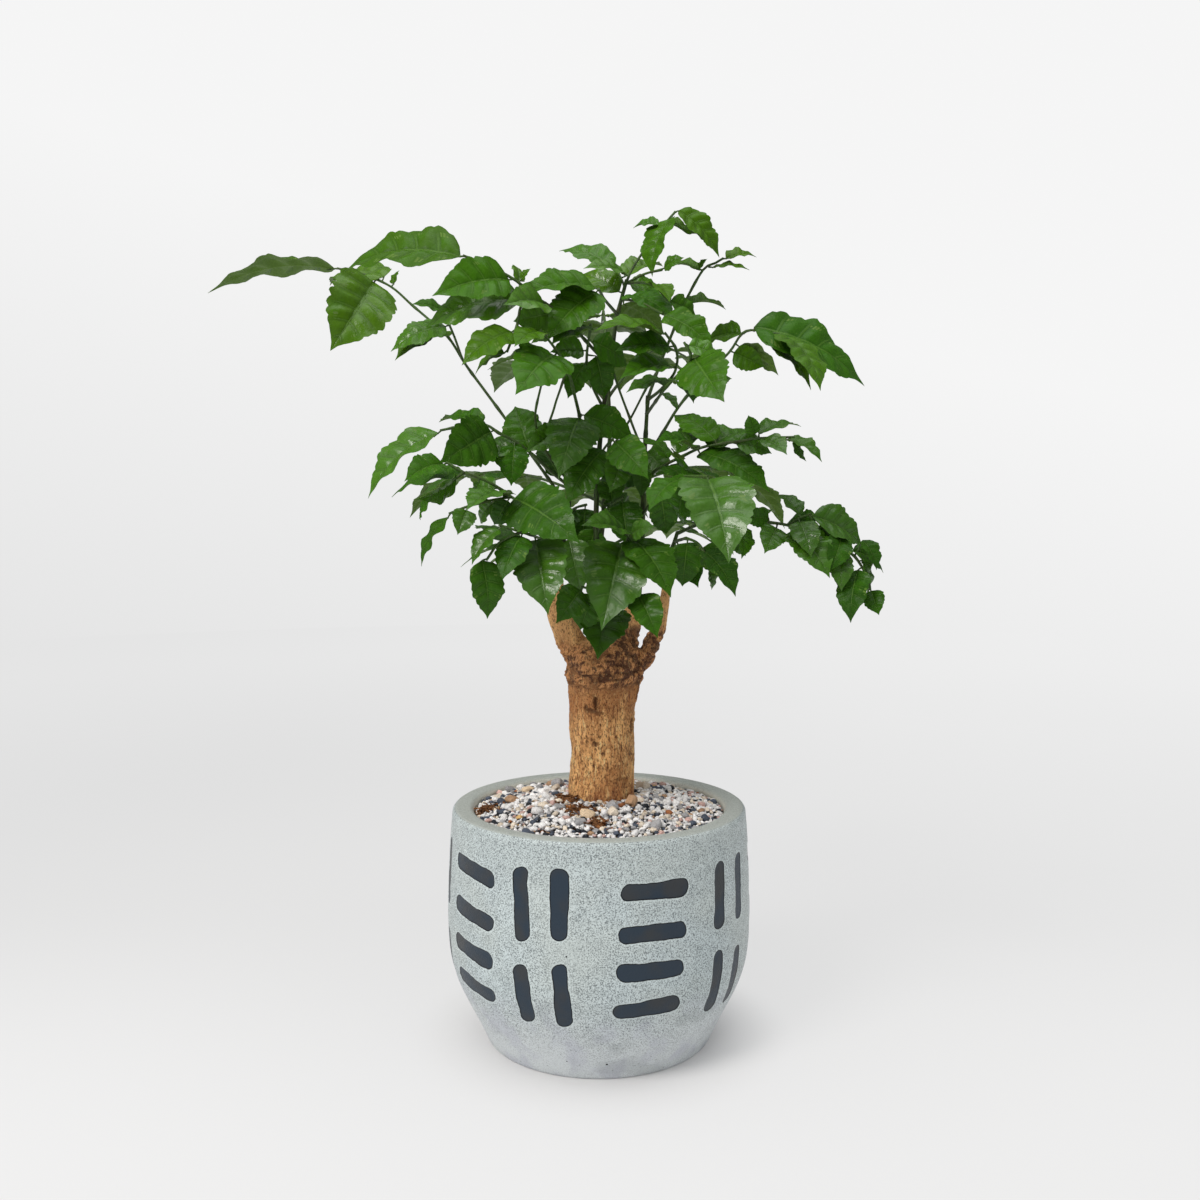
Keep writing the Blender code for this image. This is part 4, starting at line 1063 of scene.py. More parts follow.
def stroke_distance(stroke, radius, bearing, height):
    """How far a place on the wall is from a stroke's edge, in millimetres, below 0 inside it."""
    at, middle, half_length, half_width, slope, taper, cut, corner_share, chance = stroke
    across = math.radians(bearing - at) * radius
    upward = height - middle
    turn = math.radians(slope)
    along = across * math.cos(turn) + upward * math.sin(turn)
    aside = upward * math.cos(turn) - across * math.sin(turn)
    half_width *= 1 + taper * along / half_length
    corner = half_width * corner_share
    out_along = abs(along + cut * aside) - (half_length - corner)
    out_aside = abs(aside) - (half_width - corner)
    outside = math.hypot(max(out_along, 0), max(out_aside, 0))
    wobble = noise.noise(Vector((along * 0.09, aside * 0.07, chance)))
    wobble += noise.noise(Vector((along * 0.4, aside * 0.4, chance))) * 0.3
    return outside + min(max(out_along, out_aside), 0) - corner + wobble


def pot_profile():
    """Rows of the shown pot from its base over the lip to its floor: radius, height and kind of row."""
    wall_points = POT_WALL[1:] + (UNDER_LIP, (LIP_OUTER, POT_HEIGHT - SHOWN_LIP_ROUND))
    wall = smooth_route([Vector((radius, height, 0)) for radius, height in wall_points], WALL_STEP)
    rows = [(radius, height, "foot") for radius, height in FOOT_EDGE]
    rows += [(place.x, place.y, "wall") for place in wall]
    for step in range(1, QUARTER_STEPS + 1):
        turn = math.radians(90 * step / QUARTER_STEPS)
        rows.append((
            LIP_OUTER - SHOWN_LIP_ROUND * (1 - math.cos(turn)),
            POT_HEIGHT - SHOWN_LIP_ROUND * (1 - math.sin(turn)),
            "edge" if step <= EDGE_STEPS else "lip",
        ))
    rows += [(radius, height, "lip") for radius, height in LIP_FLAT]
    for step in range(QUARTER_STEPS + 1):
        turn = math.radians(90 * step / QUARTER_STEPS)
        rows.append((
            LIP_INNER + SHOWN_LIP_ROUND * (1 - math.sin(turn)),
            POT_HEIGHT - 0.2 - SHOWN_LIP_ROUND * (1 - math.cos(turn)),
            "lip",
        ))
    rows += [(LIP_INNER, 168.5, "inside"), (LIP_INNER, 163, "inside")]
    rows += [(radius, height, "inside") for radius, height in POT_INSIDE]
    rows += [(POT_FLOOR_RADIUS, POT_FLOOR, "inside"), (20, POT_FLOOR, "inside")]
    return rows


def strokes_beside(strokes, bearing):
    """The strokes that may reach a bearing, each with the bearing as that stroke counts it."""
    beside = []
    for stroke in strokes:
        gap = (bearing - stroke[0] + 180) % 360 - 180
        if abs(gap) < STROKE_REACH[0]:
            beside.append((stroke, stroke[0] + gap))
    return beside


def add_pot(settings):
    rows = pot_profile()
    strokes = brush_strokes()
    bearings = [360 * side / POT_FINE_SIDES for side in range(POT_FINE_SIDES)]
    beside = [strokes_beside(strokes, bearing) for bearing in bearings]
    depth = settings.stroke_depth / MM
    points, nearness, lip = [], [], []
    for radius, height, kind in rows:
        for bearing, near in zip(bearings, beside):
            gap = OPEN_GAP
            if kind == "wall":
                for stroke, counted in near:
                    if abs(height - stroke[1]) < STROKE_REACH[1]:
                        gap = min(gap, stroke_distance(stroke, radius, counted, height))
            shown = radius
            if kind in ("wall", "edge", "lip"):
                turn = math.radians(bearing)
                around = Vector((2 * math.cos(turn), 2 * math.sin(turn), height / 50))
                shown += POT_UNEVEN * noise.noise(around)
                shown -= depth * (1 - smooth_step(gap, -0.9, 0.5))
            points.append(on_round(bearing, shown, height))
            nearness.append(gap)
            lip.append(1.0 if kind in ("lip", "inside") else 0.0)
    faces = ring_faces(len(rows), POT_FINE_SIDES)
    base, floor = len(points), len(points) + 1
    last = base - POT_FINE_SIDES
    points += [Vector((0, 0, 0)), Vector((0, 0, POT_FLOOR * MM))]
    nearness += [OPEN_GAP, OPEN_GAP]
    lip += [0.0, 1.0]
    for side in range(POT_FINE_SIDES):
        after = (side + 1) % POT_FINE_SIDES
        faces.append((base, after, side))
        faces.append((floor, last + side, last + after))
    piece = add_piece("glazed_pot", points, faces, glaze_finish(settings), "glaze", ("pot",), 50)
    store(piece, "stroke", "FLOAT", nearness)
    store(piece, "lip", "FLOAT", lip)


def glaze_finish(settings):
    finish = Finish("crackled_glaze", 0.45, 0.3)
    band, times, over = finish.band, finish.times, finish.over
    height = finish.split(finish.place)["Z"]
    cloud, grain = finish.noise(0.045, 3), finish.noise(0.0009, 1)
    crackle = finish.cells(0.0017, "DISTANCE_TO_EDGE")
    low = band(height, 0.075, 0.022)
    rough = times(band(height, 0.006, 0.055, 0.32, 1), band(cloud, 0.2, 0.5, 0.55, 1))
    finish.colour = finish.mix(band(cloud, 0.35, 0.68), settings.coat, settings.coat_cool)
    # Painted light: paler towards the base, in place of the light that the floor throws up onto the
    # downturned lower wall
    over(settings.coat_low_painted_light, low)
    over(settings.coat_top, band(height, 0.115, 0.172), 0.5)
    over(settings.speckle, band(grain, 0.47, 0.66), rough, 0.8)
    over(settings.halo, band(grain, 0.46, 0.3), rough, 0.6)
    over(settings.speckle, band(crackle, 0.08, 0.02), band(finish.noise(0.01), 0.36, 0.55), rough, 0.45)
    over(settings.stain, low, band(finish.noise(0.022, 3), 0.47, 0.64), 0.42)
    shade = finish.noise(0.03, 3, place=finish.stretched(1.7))
    over(settings.speckle, band(shade, 0.5, 0.68, 0, 0.2), band(height, 0.085, 0.04))
    over(settings.speckle, band(finish.cells(0.006), 0.13, 0.05), 0.55)
    coat = finish.colour
    finish.colour = finish.mix(band(height, 0.1748, 0.172), settings.lip, settings.inside)
    over(settings.coat_top, band(grain, 0.45, 0.25, 0, 0.5))
    over(settings.speckle, band(grain, 0.5, 0.68, 0, 0.3))
    over(settings.moss, band(height, 0.1735, 0.170), band(cloud, 0.45, 0.6, 0, 0.35))
    lip = finish.attribute("lip")
    finish.colour = finish.mix(lip, coat, finish.colour)
    over(settings.speckle, band(lip, 0.0, 0.5), band(lip, 1.0, 0.5), 0.22)
    ragged = times(finish.minus(finish.noise(0.0022), 0.5), 0.35)
    stroke = finish.plus(finish.attribute("stroke"), ragged)
    over(settings.halo, band(stroke, 1.9, 0.6), 0.4)
    ink = finish.mix(band(finish.noise(0.02), 0.35, 0.7), settings.ink, settings.ink_warm)
    ink = finish.mix(band(stroke, -0.9, -0.4), ink, settings.ink_edge)
    inked = band(stroke, 0.2, 0.0)
    over(ink, inked)
    for bearing, at, radius in PINHOLES:
        place = on_round(bearing, curve_value([(z, r) for r, z in POT_WALL], at), at)
        over(settings.ink_edge, finish.near(place, radius * MM))
    finish.set("Roughness", finish.plus(band(grain, 0.3, 0.7, 0.38, 0.55), times(inked, -0.04)))
    finish.bump(grain, 0.00025, 0.5)
    finish.bump(crackle, 0.0003, 0.3)
    return finish.done()


def gravel_height(radius):
    """Height of the pebbles' top over the wall and the trunk's foot, in millimetres."""
    inner, outer = TRUNK_FOOT[-1][0], LIP_INNER
    share = max(0.0, min(1.0, (outer - radius) / (outer - inner)))
    rise = EDGE_RISE * smooth_step(radius, LIP_INNER * 0.6, LIP_INNER)
    return GRAVEL_EDGE_TOP + (GRAVEL_CROWN_TOP - GRAVEL_EDGE_TOP) * math.sin(share * math.pi / 2) + rise


def add_pebble_bed(settings):
    """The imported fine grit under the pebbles, a closed ring round the trunk."""
    inner = TRUNK_FOOT[-1][0] + SIDE_GAP
    outer_low = inside_radius(SOIL_EDGE_TOP + GAP) - SIDE_GAP
    outer_top = LIP_INNER - SIDE_GAP
    profile = [(inner, SOIL_CROWN_TOP + GAP), (outer_low, SOIL_EDGE_TOP + GAP)]
    for ring in range(BED_RINGS + 1):
        radius = outer_top + (inner - outer_top) * ring / BED_RINGS
        profile.append((radius, gravel_height(radius) - BED_DROP))
    points = []
    for index, (radius, height) in enumerate(profile):
        for side in range(BED_SIDES):
            place = on_round(360 * side / BED_SIDES, radius, height)
            place.x += TRUNK_MIDDLE * (outer_top - radius) / (outer_top - inner) * MM
            if index > 1:
                place.z += noise.noise(place / MM * 0.35) * 0.5 * MM
            points.append(place)
    faces = ring_faces(len(profile), BED_SIDES, closed=True)
    add_piece("pebble_bed", points, faces, grit_finish(settings), "pebbles", ("gravel",))


def ball(level):
    """Points and triangles of a ball of radius 1."""
    work = bmesh.new()
    bmesh.ops.create_icosphere(work, subdivisions=level, radius=1)
    points = [vertex.co.copy() for vertex in work.verts]
    faces = [tuple(vertex.index for vertex in face.verts) for face in work.faces]
    work.free()
    return points, faces


def scatter(draw, count, sizes, crowded, placed):
    """Places for stones that keep clear of those laid before: across, depth and half length."""
    inner, outer = TRUNK_FOOT[-1][0] - 0.5, LIP_INNER - 0.6
    found = []
    for _ in range(count * SCATTER_TRIES):
        if len(found) == count:
            break
        radius = math.sqrt(draw.uniform(inner ** 2, outer ** 2))
        bearing = draw.uniform(0, 2 * math.pi)
        size = sizes[0] + (sizes[1] - sizes[0]) * draw.random() ** 1.6
        across, depth = radius * math.cos(bearing), radius * math.sin(bearing)
        if radius + size * 0.8 > outer or radius - size * 0.6 < inner:
            continue
        if draw.random() < 0.8 * mulch_share(across, depth):
            continue
        column, row = int(across // STONE_CELL), int(depth // STONE_CELL)
        clear = True
        for near_column in (column - 1, column, column + 1):
            for near_row in (row - 1, row, row + 1):
                for other in placed.get((near_column, near_row), ()):
                    if math.hypot(across - other[0], depth - other[1]) < crowded * (size + other[2]):
                        clear = False
                        break
        if clear:
            stone = (across, depth, size)
            found.append(stone)
            placed.setdefault((column, row), []).append(stone)
    return found


def mulch_share(across, depth):
    """How far bark covers a place: in front of the trunk to its left, and by the lip at the left."""
    covered = 0.0
    for middle_across, middle_depth, reach in MULCH_PATCHES:
        gap = math.hypot(across - middle_across, depth - middle_depth) / reach
        covered = max(covered, math.exp(-gap * gap))
    return covered


def on_gravel(across, depth, lift):
    """A place over the pebbles' top, from a place round the pot's axis, in millimetres."""
    radius = math.hypot(across, depth)
    middle = TRUNK_MIDDLE * max(0, LIP_INNER - radius) / (LIP_INNER - TRUNK_FOOT[-1][0])
    return Vector((across + middle, depth, gravel_height(radius) + lift)) * MM


def chance_turn(draw, tilt):
    return Euler((draw.gauss(0, tilt), draw.gauss(0, tilt), draw.uniform(0, 6.28))).to_matrix()


def add_stones(name, stones, level, raised, weights, draw, settings, finish, own_colours=()):
    """Loose stones of one range of sizes, each with its own shape, turn and colour."""
    round_points, round_faces = ball(level)
    colours = [getattr(settings, title) for title in STONE_COLOURS]
    points, faces, tints = [], [], []
    for number, (across, depth, size) in enumerate(stones):
        lifted = raised + (SET_LIFT if number < len(own_colours) else 0)
        place = on_gravel(across, depth, (lifted + draw.uniform(-0.35, 0.35)) * size)
        shape = Vector((size, size * draw.uniform(0.62, 0.95), size * draw.uniform(0.5, 0.8))) * MM
        turn = chance_turn(draw, 0.35)
        squareness = draw.uniform(0.5, 0.88)
        offset = Vector((draw.uniform(0, 50), draw.uniform(0, 50), draw.uniform(0, 50)))
        colour = Vector(draw.choices(colours, weights)[0]) * draw.uniform(0.76, 1.1)
        if number < len(own_colours):
            colour = Vector(getattr(settings, own_colours[number]))
        stone = []
        for point in round_points:
            blocky = Vector([math.copysign(abs(part) ** squareness, part) for part in point])
            blocky *= 0.95 + 0.26 * noise.noise(point * 1.5 + offset)
            stone.append(place + turn @ (blocky * shape))
        append_shape(points, faces, (stone, round_faces))
        tints += [(*colour, 1)] * len(stone)
    piece = add_piece(name, points, faces, finish, "pebbles", ("gravel",))
    store(piece, "stone", "FLOAT_COLOR", tints)


def add_mulch(draw, settings):
    """Chips of bark on the pebbles beside the trunk and by the lip."""
    points, faces = [], []
    for middle_across, middle_depth, reach in MULCH_PATCHES:
        spots = []
        while len(spots) < reach * CHIPS_PER_REACH:
            across = middle_across + draw.gauss(0, reach * 0.6)
            depth = middle_depth + draw.gauss(0, reach * 0.6)
            if TRUNK_FOOT[-1][0] + 1 < math.hypot(across, depth) < LIP_INNER - 3:
                spots.append((across, depth))
        for across, depth in spots:
            append_shape(points, faces, chip_form(across, depth, draw))
    finish = Finish("bark_chips", 0.9, 0.2)
    fibre = finish.noise(0.0012, place=finish.stretched(0.4))
    brown = finish.mix(finish.band(finish.noise(0.009, 1), 0.42, 0.58), settings.chip, settings.chip_warm)
    finish.colour = finish.mix(finish.band(fibre, 0.35, 0.65), settings.chip_dark, brown)
    finish.bump(fibre, 0.0006)
    add_piece("bark_chips", points, faces, finish.done(), "pebbles", ("gravel",), 40)


def chip_form(across, depth, draw):
    """One ragged chip, lying about level."""
    place = on_gravel(across, depth, draw.uniform(-0.3, 2.2))
    half = Vector((draw.uniform(1.4, 5.0), draw.uniform(0.7, 2.0), draw.uniform(0.4, 1.0))) * MM
    turn = chance_turn(draw, 0.4)
    points = []
    for end in CHIP_ROWS:
        for angle in turns(CHIP_SIDES):
            ragged = draw.uniform(0.7, 1.1) * (0.45 if abs(end) == 1 else 1)
            points.append(place + turn @ Vector((
                end * half.x * draw.uniform(0.9, 1.1), math.cos(angle) * half.y * ragged,
                math.sin(angle) * half.z * ragged,
            )))
    return points, capped(len(CHIP_ROWS), CHIP_SIDES)


def add_gravel(settings):
    draw = random.Random(PEBBLE_SEED)
    add_pebble_bed(settings)
    low, high = settings.pebble_low / MM, settings.pebble_high / MM
    large = [stone[:3] for stone in SET_STONES]
    placed = {}
    for stone in large:
        placed.setdefault((int(stone[0] // STONE_CELL), int(stone[1] // STONE_CELL)), []).append(stone)
    large += scatter(draw, settings.large_count, (high * 1.1, high * 1.6), 0.9, placed)
    common = scatter(draw, settings.pebble_count, (low, high), 0.76, placed)
    shared = (draw, settings, stone_finish())
    own_colours = [stone[3] for stone in SET_STONES]
    add_stones("large_pebbles", large, 3, 0.12, LARGE_PARTS, *shared, own_colours)
    add_stones("pebbles", common, 2, 0.1, COMMON_PARTS, *shared)
    loose = scatter(draw, settings.grit_count, (low * 0.5, low * 0.8), 0.6, placed)
    add_stones("grit", loose, 1, 0.3, COMMON_PARTS, *shared)
    add_mulch(draw, settings)


def stone_finish():
    finish = Finish("river_stone", 0.5, 0.3)
    finish.colour = finish.attribute("stone", "Color")
    darker = finish.mix(1.0, finish.colour, (0.45, 0.42, 0.4), "MULTIPLY")
    grain, vein = finish.noise(0.0007, 3, 0.6), finish.noise(0.0022, distortion=1.5)
    finish.over(darker, finish.band(grain, 0.48, 0.75))
    finish.over(darker, finish.band(vein, 0.56, 0.70, 0, 0.55))
    finish.set("Roughness", finish.band(grain, 0.3, 0.7, 0.38, 0.68))
    finish.bump(grain, 0.0003, 0.6)
    return finish.done()


def grit_finish(settings):
    finish = Finish("packed_grit", 0.85, 0.2)
    grain = finish.noise(0.0011)
    finish.colour = finish.mix(finish.band(grain, 0.4, 0.65), settings.bed_dark, settings.bed)
    finish.over(settings.chip, finish.band(finish.noise(0.006, 1), 0.5, 0.7, 0, 0.5))
    finish.bump(grain, 0.001)
    return finish.done()


def add_soil(settings):
    """Gives the packed soil under the pebbles its crumbly finish."""
    finish = Finish("potting_soil", 0.95, 0.15)
    crumb, grain = finish.cells(0.003), finish.noise(0.0012, 3, 0.6)
    finish.colour = finish.mix(finish.band(crumb, 0.1, 0.6), settings.soil, settings.soil_dark)
    finish.over(settings.fibre, finish.band(grain, 0.62, 0.75, 0, 0.6))
    finish.bump(crumb, 0.0015)
    finish.bump(grain, 0.0006)
    material = finish.done()
    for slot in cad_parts["soil"].material_slots:
        slot.material = material


def trunk_places():
    """The trunk's smooth rows: radius, height and middle, in millimetres."""
    rings = [(radius, height, TRUNK_MIDDLE) for radius, height in TRUNK_FOOT] + list(TRUNK_STEM)
    route = smooth_route([Vector(ring) for ring in rings[2:]], 3)
    return [Vector(ring) for ring in rings[:2]] + route


def trunk_form():
    """The trunk before its bark is raised, round below the pebbles and lobed above them."""
    points = []
    rows = trunk_places()
    for radius, height, middle in rows:
        lobe = TRUNK_LOBE * smooth_step(height, TRUNK_FOOT[-1][1] - 8, TRUNK_FOOT[-1][1] + 12)
        for angle in turns(TRUNK_FINE_SIDES):
            waves = sum(
                share * math.sin(count * angle + height * turn) for count, turn, share in TRUNK_LOBES
            )
            reach = radius * (1 + lobe * waves)
            points.append(Vector((middle + reach * math.cos(angle), reach * math.sin(angle), height)) * MM)
    faces = ring_faces(len(rows), TRUNK_FINE_SIDES)
    top = len(points)
    points.append(Vector((rows[-1].z, 0, TRUNK_TOP)) * MM)
    last = top - TRUNK_FINE_SIDES
    for side in range(TRUNK_FINE_SIDES):
        faces.append((top, last + side, last + (side + 1) % TRUNK_FINE_SIDES))
    faces.append(tuple(reversed(range(TRUNK_FINE_SIDES))))
    return points, faces


def limb_form(route):
    """A limb as a smooth tube, a little swollen where it ends."""
    places = [Vector((*from_drawing(*point[:3]), point[3] * MM)) for point in route]
    smooth = smooth_route(places, 3 * MM)
    return tube([place.xyz for place in smooth], [place.w / MM for place in smooth], LIMB_FINE_SIDES)


def with_marks(lift, scar, spot, height, bearing, axis_gap):
    """The bark's lift and darkness at a place after the trunk's own marks."""
    for at, rise, half_width, half_height, cut in TRUNK_MARKS:
        aside = math.radians((bearing - at + 180) % 360 - 180) * axis_gap / half_width
        gap = math.hypot(aside, (height - rise) / half_height)
        if gap < MARK_REACH:
            gap += 0.55 * noise.noise(spot * 0.7)
            lift -= cut * (1 - smooth_step(gap, 0.35, 1.15))
            lift += 0.45 * cut * smooth_step(gap, 0.8, 1.2) * (1 - smooth_step(gap, 1.3, 2.1))
            scar = max(scar, min(1, cut * 0.75) * (1 - smooth_step(gap, 0.7, 1.35)))
    turn = math.radians(bearing)
    for rise, half_height, cut, wander in TRUNK_RINGS:
        shift = wander * noise.noise(Vector((math.sin(turn), math.cos(turn), rise)) * 1.7)
        gap = abs(height - rise - shift) / half_height
        broken = smooth_step(noise.noise(Vector((bearing * 0.03, rise, 5))), -0.35, 0.1)
        lift -= broken * cut * (1 - smooth_step(gap, 0.5, 1.6))
        scar = max(scar, broken * 0.95 * (1 - smooth_step(gap, 0.6, 1.5)))
    return lift, scar


def bark_at(place, axis_gap):
    """How far the bark is raised at a place, in millimetres, its darkness from marks, cracks and painted
    shade in the crown's hollows, and its crown's share.
    """
    across, depth, height = place.x / MM, place.y / MM, place.z / MM
    spot = Vector((across, depth, height))
    start, full, fading, smooth = KNOBBLY
    limb = smooth_step(height - RIGHT_RISE * smooth_step(across, -12, 14), fading, smooth)
    crown = smooth_step(height, start, full) * (1 - limb)
    plain = 1 - 0.6 * limb
    ridge = noise.noise(Vector((across * 0.3, depth * 0.3, height * 0.05)))
    lift = 0.7 * plain * noise.noise(spot * 0.055)
    lift += 0.45 * plain * (abs(ridge) * 2 - 0.6)
    lift += 0.25 * plain * noise.noise(spot * 0.5)
    knob = noise.noise(spot * 0.13 + Vector((9, 2, 4)))
    pits = noise.noise(spot * 0.42)
    wrinkle = noise.noise(Vector((across * 0.1, depth * 0.1, height * 0.45)))
    lift += crown * (3.2 * knob + 0.7 * pits + 1.1 * wrinkle)
    # Painted shade: the crown's hollows, where the knob and pit noise lowers the bark, are darkened along
    # with the marks
    scar = crown * max(smooth_step(-knob, 0.0, 0.4), smooth_step(-pits, 0.1, 0.4)) * 0.8
    crack = 0.4 * (1 - limb) * smooth_step(-abs(ridge), -0.06, 0.0)
    scar = max(scar, crack * smooth_step(noise.noise(spot * 0.09), -0.1, 0.4))
    if height < MARKED[0] and axis_gap < MARKED[1]:
        bearing = math.degrees(math.atan2(across - TRUNK_MIDDLE, -depth))
        lift, scar = with_marks(lift, scar, spot, height, bearing, axis_gap)
    return lift, scar, crown


def remeshed(name, shapes, voxel):
    """One skin over shapes that overlap."""
    points, faces = [], []
    for shape in shapes:
        append_shape(points, faces, shape)
    piece = mesh_object(name, points, faces)
    skin = piece.modifiers.new("skin", "REMESH")
    skin.mode = "VOXEL"
    skin.voxel_size = voxel
    soften = piece.modifiers.new("soften", "SMOOTH")
    soften.factor = 0.5
    soften.iterations = 6
    graph = bpy.context.evaluated_depsgraph_get()
    skinned = bpy.data.meshes.new_from_object(piece.evaluated_get(graph))
    piece.modifiers.clear()
    piece.data = skinned
    return piece


def add_trunk(settings):
    shapes = [trunk_form()] + [limb_form(route) for route in LIMBS.values()]
    piece = remeshed("woody_trunk", shapes, settings.skin)
    scar_and_hollow_shades, crowns = [], []
    normals = [vertex.normal.copy() for vertex in piece.data.vertices]
    for vertex, normal in zip(piece.data.vertices, normals):
        axis_gap = math.hypot(vertex.co.x / MM - TRUNK_MIDDLE, vertex.co.y / MM)
        lift, scar, crown = bark_at(vertex.co, axis_gap)
        bare = smooth_step(vertex.co.z / MM, TRUNK_FOOT[-1][1] - 14, TRUNK_FOOT[-1][1] + 2)
        vertex.co += normal * lift * bare * settings.relief * MM
        scar_and_hollow_shades.append(scar)
        crowns.append(crown)
    store(piece, "scar", "FLOAT", scar_and_hollow_shades)
    store(piece, "crown", "FLOAT", crowns)
    finish_piece(piece, bark_finish(settings), "bark", ("trunk",))


def bark_finish(settings):
    finish = Finish("scarred_bark", 0.72, 0.22)
    band, times, over = finish.band, finish.times, finish.over
    across, _, height = finish.split(finish.place)
    streak = finish.noise(0.0019, 4, 0.62, finish.stretched(0.2), 0.5)
    broad = finish.noise(0.014, 3, 0.5, finish.stretched(0.35))
    fine = finish.noise(0.001, 3, 0.6, finish.stretched(0.5))
    mottle = finish.noise(0.0034, 4, 0.7, finish.stretched(0.6))
    fleck = finish.noise(0.0015, 2, 0.55, finish.stretched(0.16))
    lump = finish.noise(0.0062, 4, 0.66)
    finish.colour = finish.mix(band(streak, 0.38, 0.66), settings.bark, settings.streak)
    over(settings.bark_warm, band(broad, 0.42, 0.66, 0, 0.55))
    over(settings.bark_red, band(mottle, 0.53, 0.62, 0, 0.72))
    over(settings.bark_dark, band(streak, 0.46, 0.35, 0, 0.85))
    over(settings.bark_warm, band(height, 0.236, 0.252, 0, 0.7), band(broad, 0.36, 0.56))
    over(settings.limb, band(height, 0.28, 0.312), 0.5)
    # Painted light on the crown: its tan tone spreads on the left, where the light falls, and its dark tone
    # on the right
    crown_patch_lit_from_left = finish.plus(times(lump, 0.5), times(mottle, 0.5))
    crown_patch_lit_from_left = finish.minus(crown_patch_lit_from_left, band(across, -0.006, 0.012, -0.008, 0.03))
    crown_tones_with_painted_light = finish.mix(band(crown_patch_lit_from_left, 0.44, 0.51), settings.crown, settings.knob)
    ragged = finish.plus(finish.attribute("crown"), times(finish.minus(lump, 0.5), 1.3))
    over(crown_tones_with_painted_light, band(ragged, 0.3, 0.9, 0, 0.9))
    # Dark bark over the marks and cracks, and as painted shade in the crown's hollows
    over(settings.bark_dark, finish.attribute("scar"), band(fine, 0.3, 0.62, 0.35, 1.0), 0.92)
    bare = times(band(height, 0.258, 0.238, 0.15, 1), band(broad, 0.62, 0.45, 0.35, 0.85))
    over(settings.flake, band(fleck, 0.59, 0.65), bare)
    over(settings.bark_warm, band(height, 0.215, 0.185), 0.6, band(broad, 0.4, 0.55))
    over(settings.bark_red, band(height, 0.196, 0.182), band(mottle, 0.44, 0.56, 0.1, 0.6))
    over(settings.bark_dark, band(fine, 0.48, 0.34, 0, 0.85))
    over(settings.flake, band(fine, 0.58, 0.7, 0, 0.35))
    finish.set("Roughness", band(streak, 0.3, 0.7, 0.62, 0.85))
    finish.bump(streak, 0.0013, 0.9)
    finish.bump(mottle, 0.0024, 0.9)
    finish.bump(fine, 0.0006, 0.7)
    return finish.done()


def tooth_reach(draw, size):
    """How far the margin stands out at each row, with teeth of uneven depth."""
    reach = []
    for _ in range(TEETH[size]):
        depth = draw.uniform(0.4, 1.6)
        reach += [step * depth for step in TOOTH_STEPS[size]]
    return reach


def shell_faces(rows, width):
    """Faces of two sheets of points, one under the other, that are joined round their rim."""
    count = (rows + 1) * width
    faces = []
    for row in range(rows):
        for first in range(row * width, row * width + width - 1):
            quad = (first, first + 1, first + 1 + width, first + width)
            faces.append(quad)
            faces.append(tuple(count + index for index in reversed(quad)))
    rim = list(range(width))
    rim += [row * width + width - 1 for row in range(1, rows + 1)]
    rim += [rows * width + column for column in reversed(range(width - 1))]
    rim += [row * width for row in reversed(range(1, rows))]
    for here, after in zip(rim, rim[1:] + rim[:1]):
        faces.append((here, count + here, count + after, after))
    return faces


def fine_blade(leaflet, settings, draw, least):
    """A toothed, quilted leaflet as a thin shell: points, faces, and what its material reads."""
    size = "large" if leaflet.length > LARGE_LENGTH * MM * FINE_LARGE else "small"
    columns = COLUMNS[size]
    rows = TEETH[size] * len(TOOTH_STEPS[size]) + 1
    teeth = {-1: tooth_reach(draw, size) + [0], 1: tooth_reach(draw, size) + [0]}
    chance = max(least, draw.random())
    full = draw.random() ** 0.5
    fold, curl = draw.uniform(-0.16, 0.2), draw.uniform(0, 0.07)
    calm = BLADE_WAVE * WAVE_CALMED * leaflet.length if size == "large" else 0.0
    half = settings.thickness / 2
    sight = (Vector(EYE) * MM - leaflet.base.lerp(leaflet.tip, 0.5)).normalized()
    breadth = settings.breadth * (BREADTH[0] + (BREADTH[1] - BREADTH[0]) * abs(leaflet.normal.dot(sight)))
    sheets = {1: [], -1: []}
    marks = []
    for row in range(rows + 1):
        along = row / rows
        veins = along * VEINS
        for column in columns:
            hand = 1 if column >= 0 else -1
            out = abs(column)
            slant = VEIN_SLANT * 4 * along * (1 - along)
            t = along + slant * out ** 1.3
            edge_t = along + slant
            tooth = teeth[hand][min(row, rows - 1)] * settings.tooth
            ends = smooth_step(edge_t, 0.04, 0.14) * (1 - smooth_step(edge_t, 0.78, 0.94))
            edge = curve_value(FULL_OUTLINE, edge_t) * full + curve_value(SLIM_OUTLINE, edge_t) * (1 - full)
            edge *= 1 + tooth * ends
            across = column * edge
            swell = (0.5 - 0.5 * math.cos(2 * math.pi * veins)) * math.sin(math.pi * min(1, out * 1.15))
            lift = settings.quilt * leaflet.length * swell * edge
            ripple = math.sin(along * 19 + leaflet.phase + hand) * out ** 3 * edge
            lift += settings.ripple * leaflet.width * ripple
            lift -= calm * across * math.sin(5 * math.pi * t + leaflet.phase)
            lift += fold * out * edge * leaflet.width / 2 - curl * leaflet.length * max(0, t - 0.3) ** 2
            groove = 0.35 * MM * (1 - smooth_step(out, 0.02, 0.1)) * (1 - along)
            for face, points in sheets.items():
                thick = half * (1 - 0.6 * out)
                rib = -groove if face == 1 else -2.2 * groove
                points.append(leaflet.place(t, across * breadth, lift + face * thick + rib))
            marks.append((column, veins, chance))
    count = len(marks)
    faces = shell_faces(rows, len(columns))
    return sheets[1] + sheets[-1], faces, marks + marks, [0.0] * count + [1.0] * count


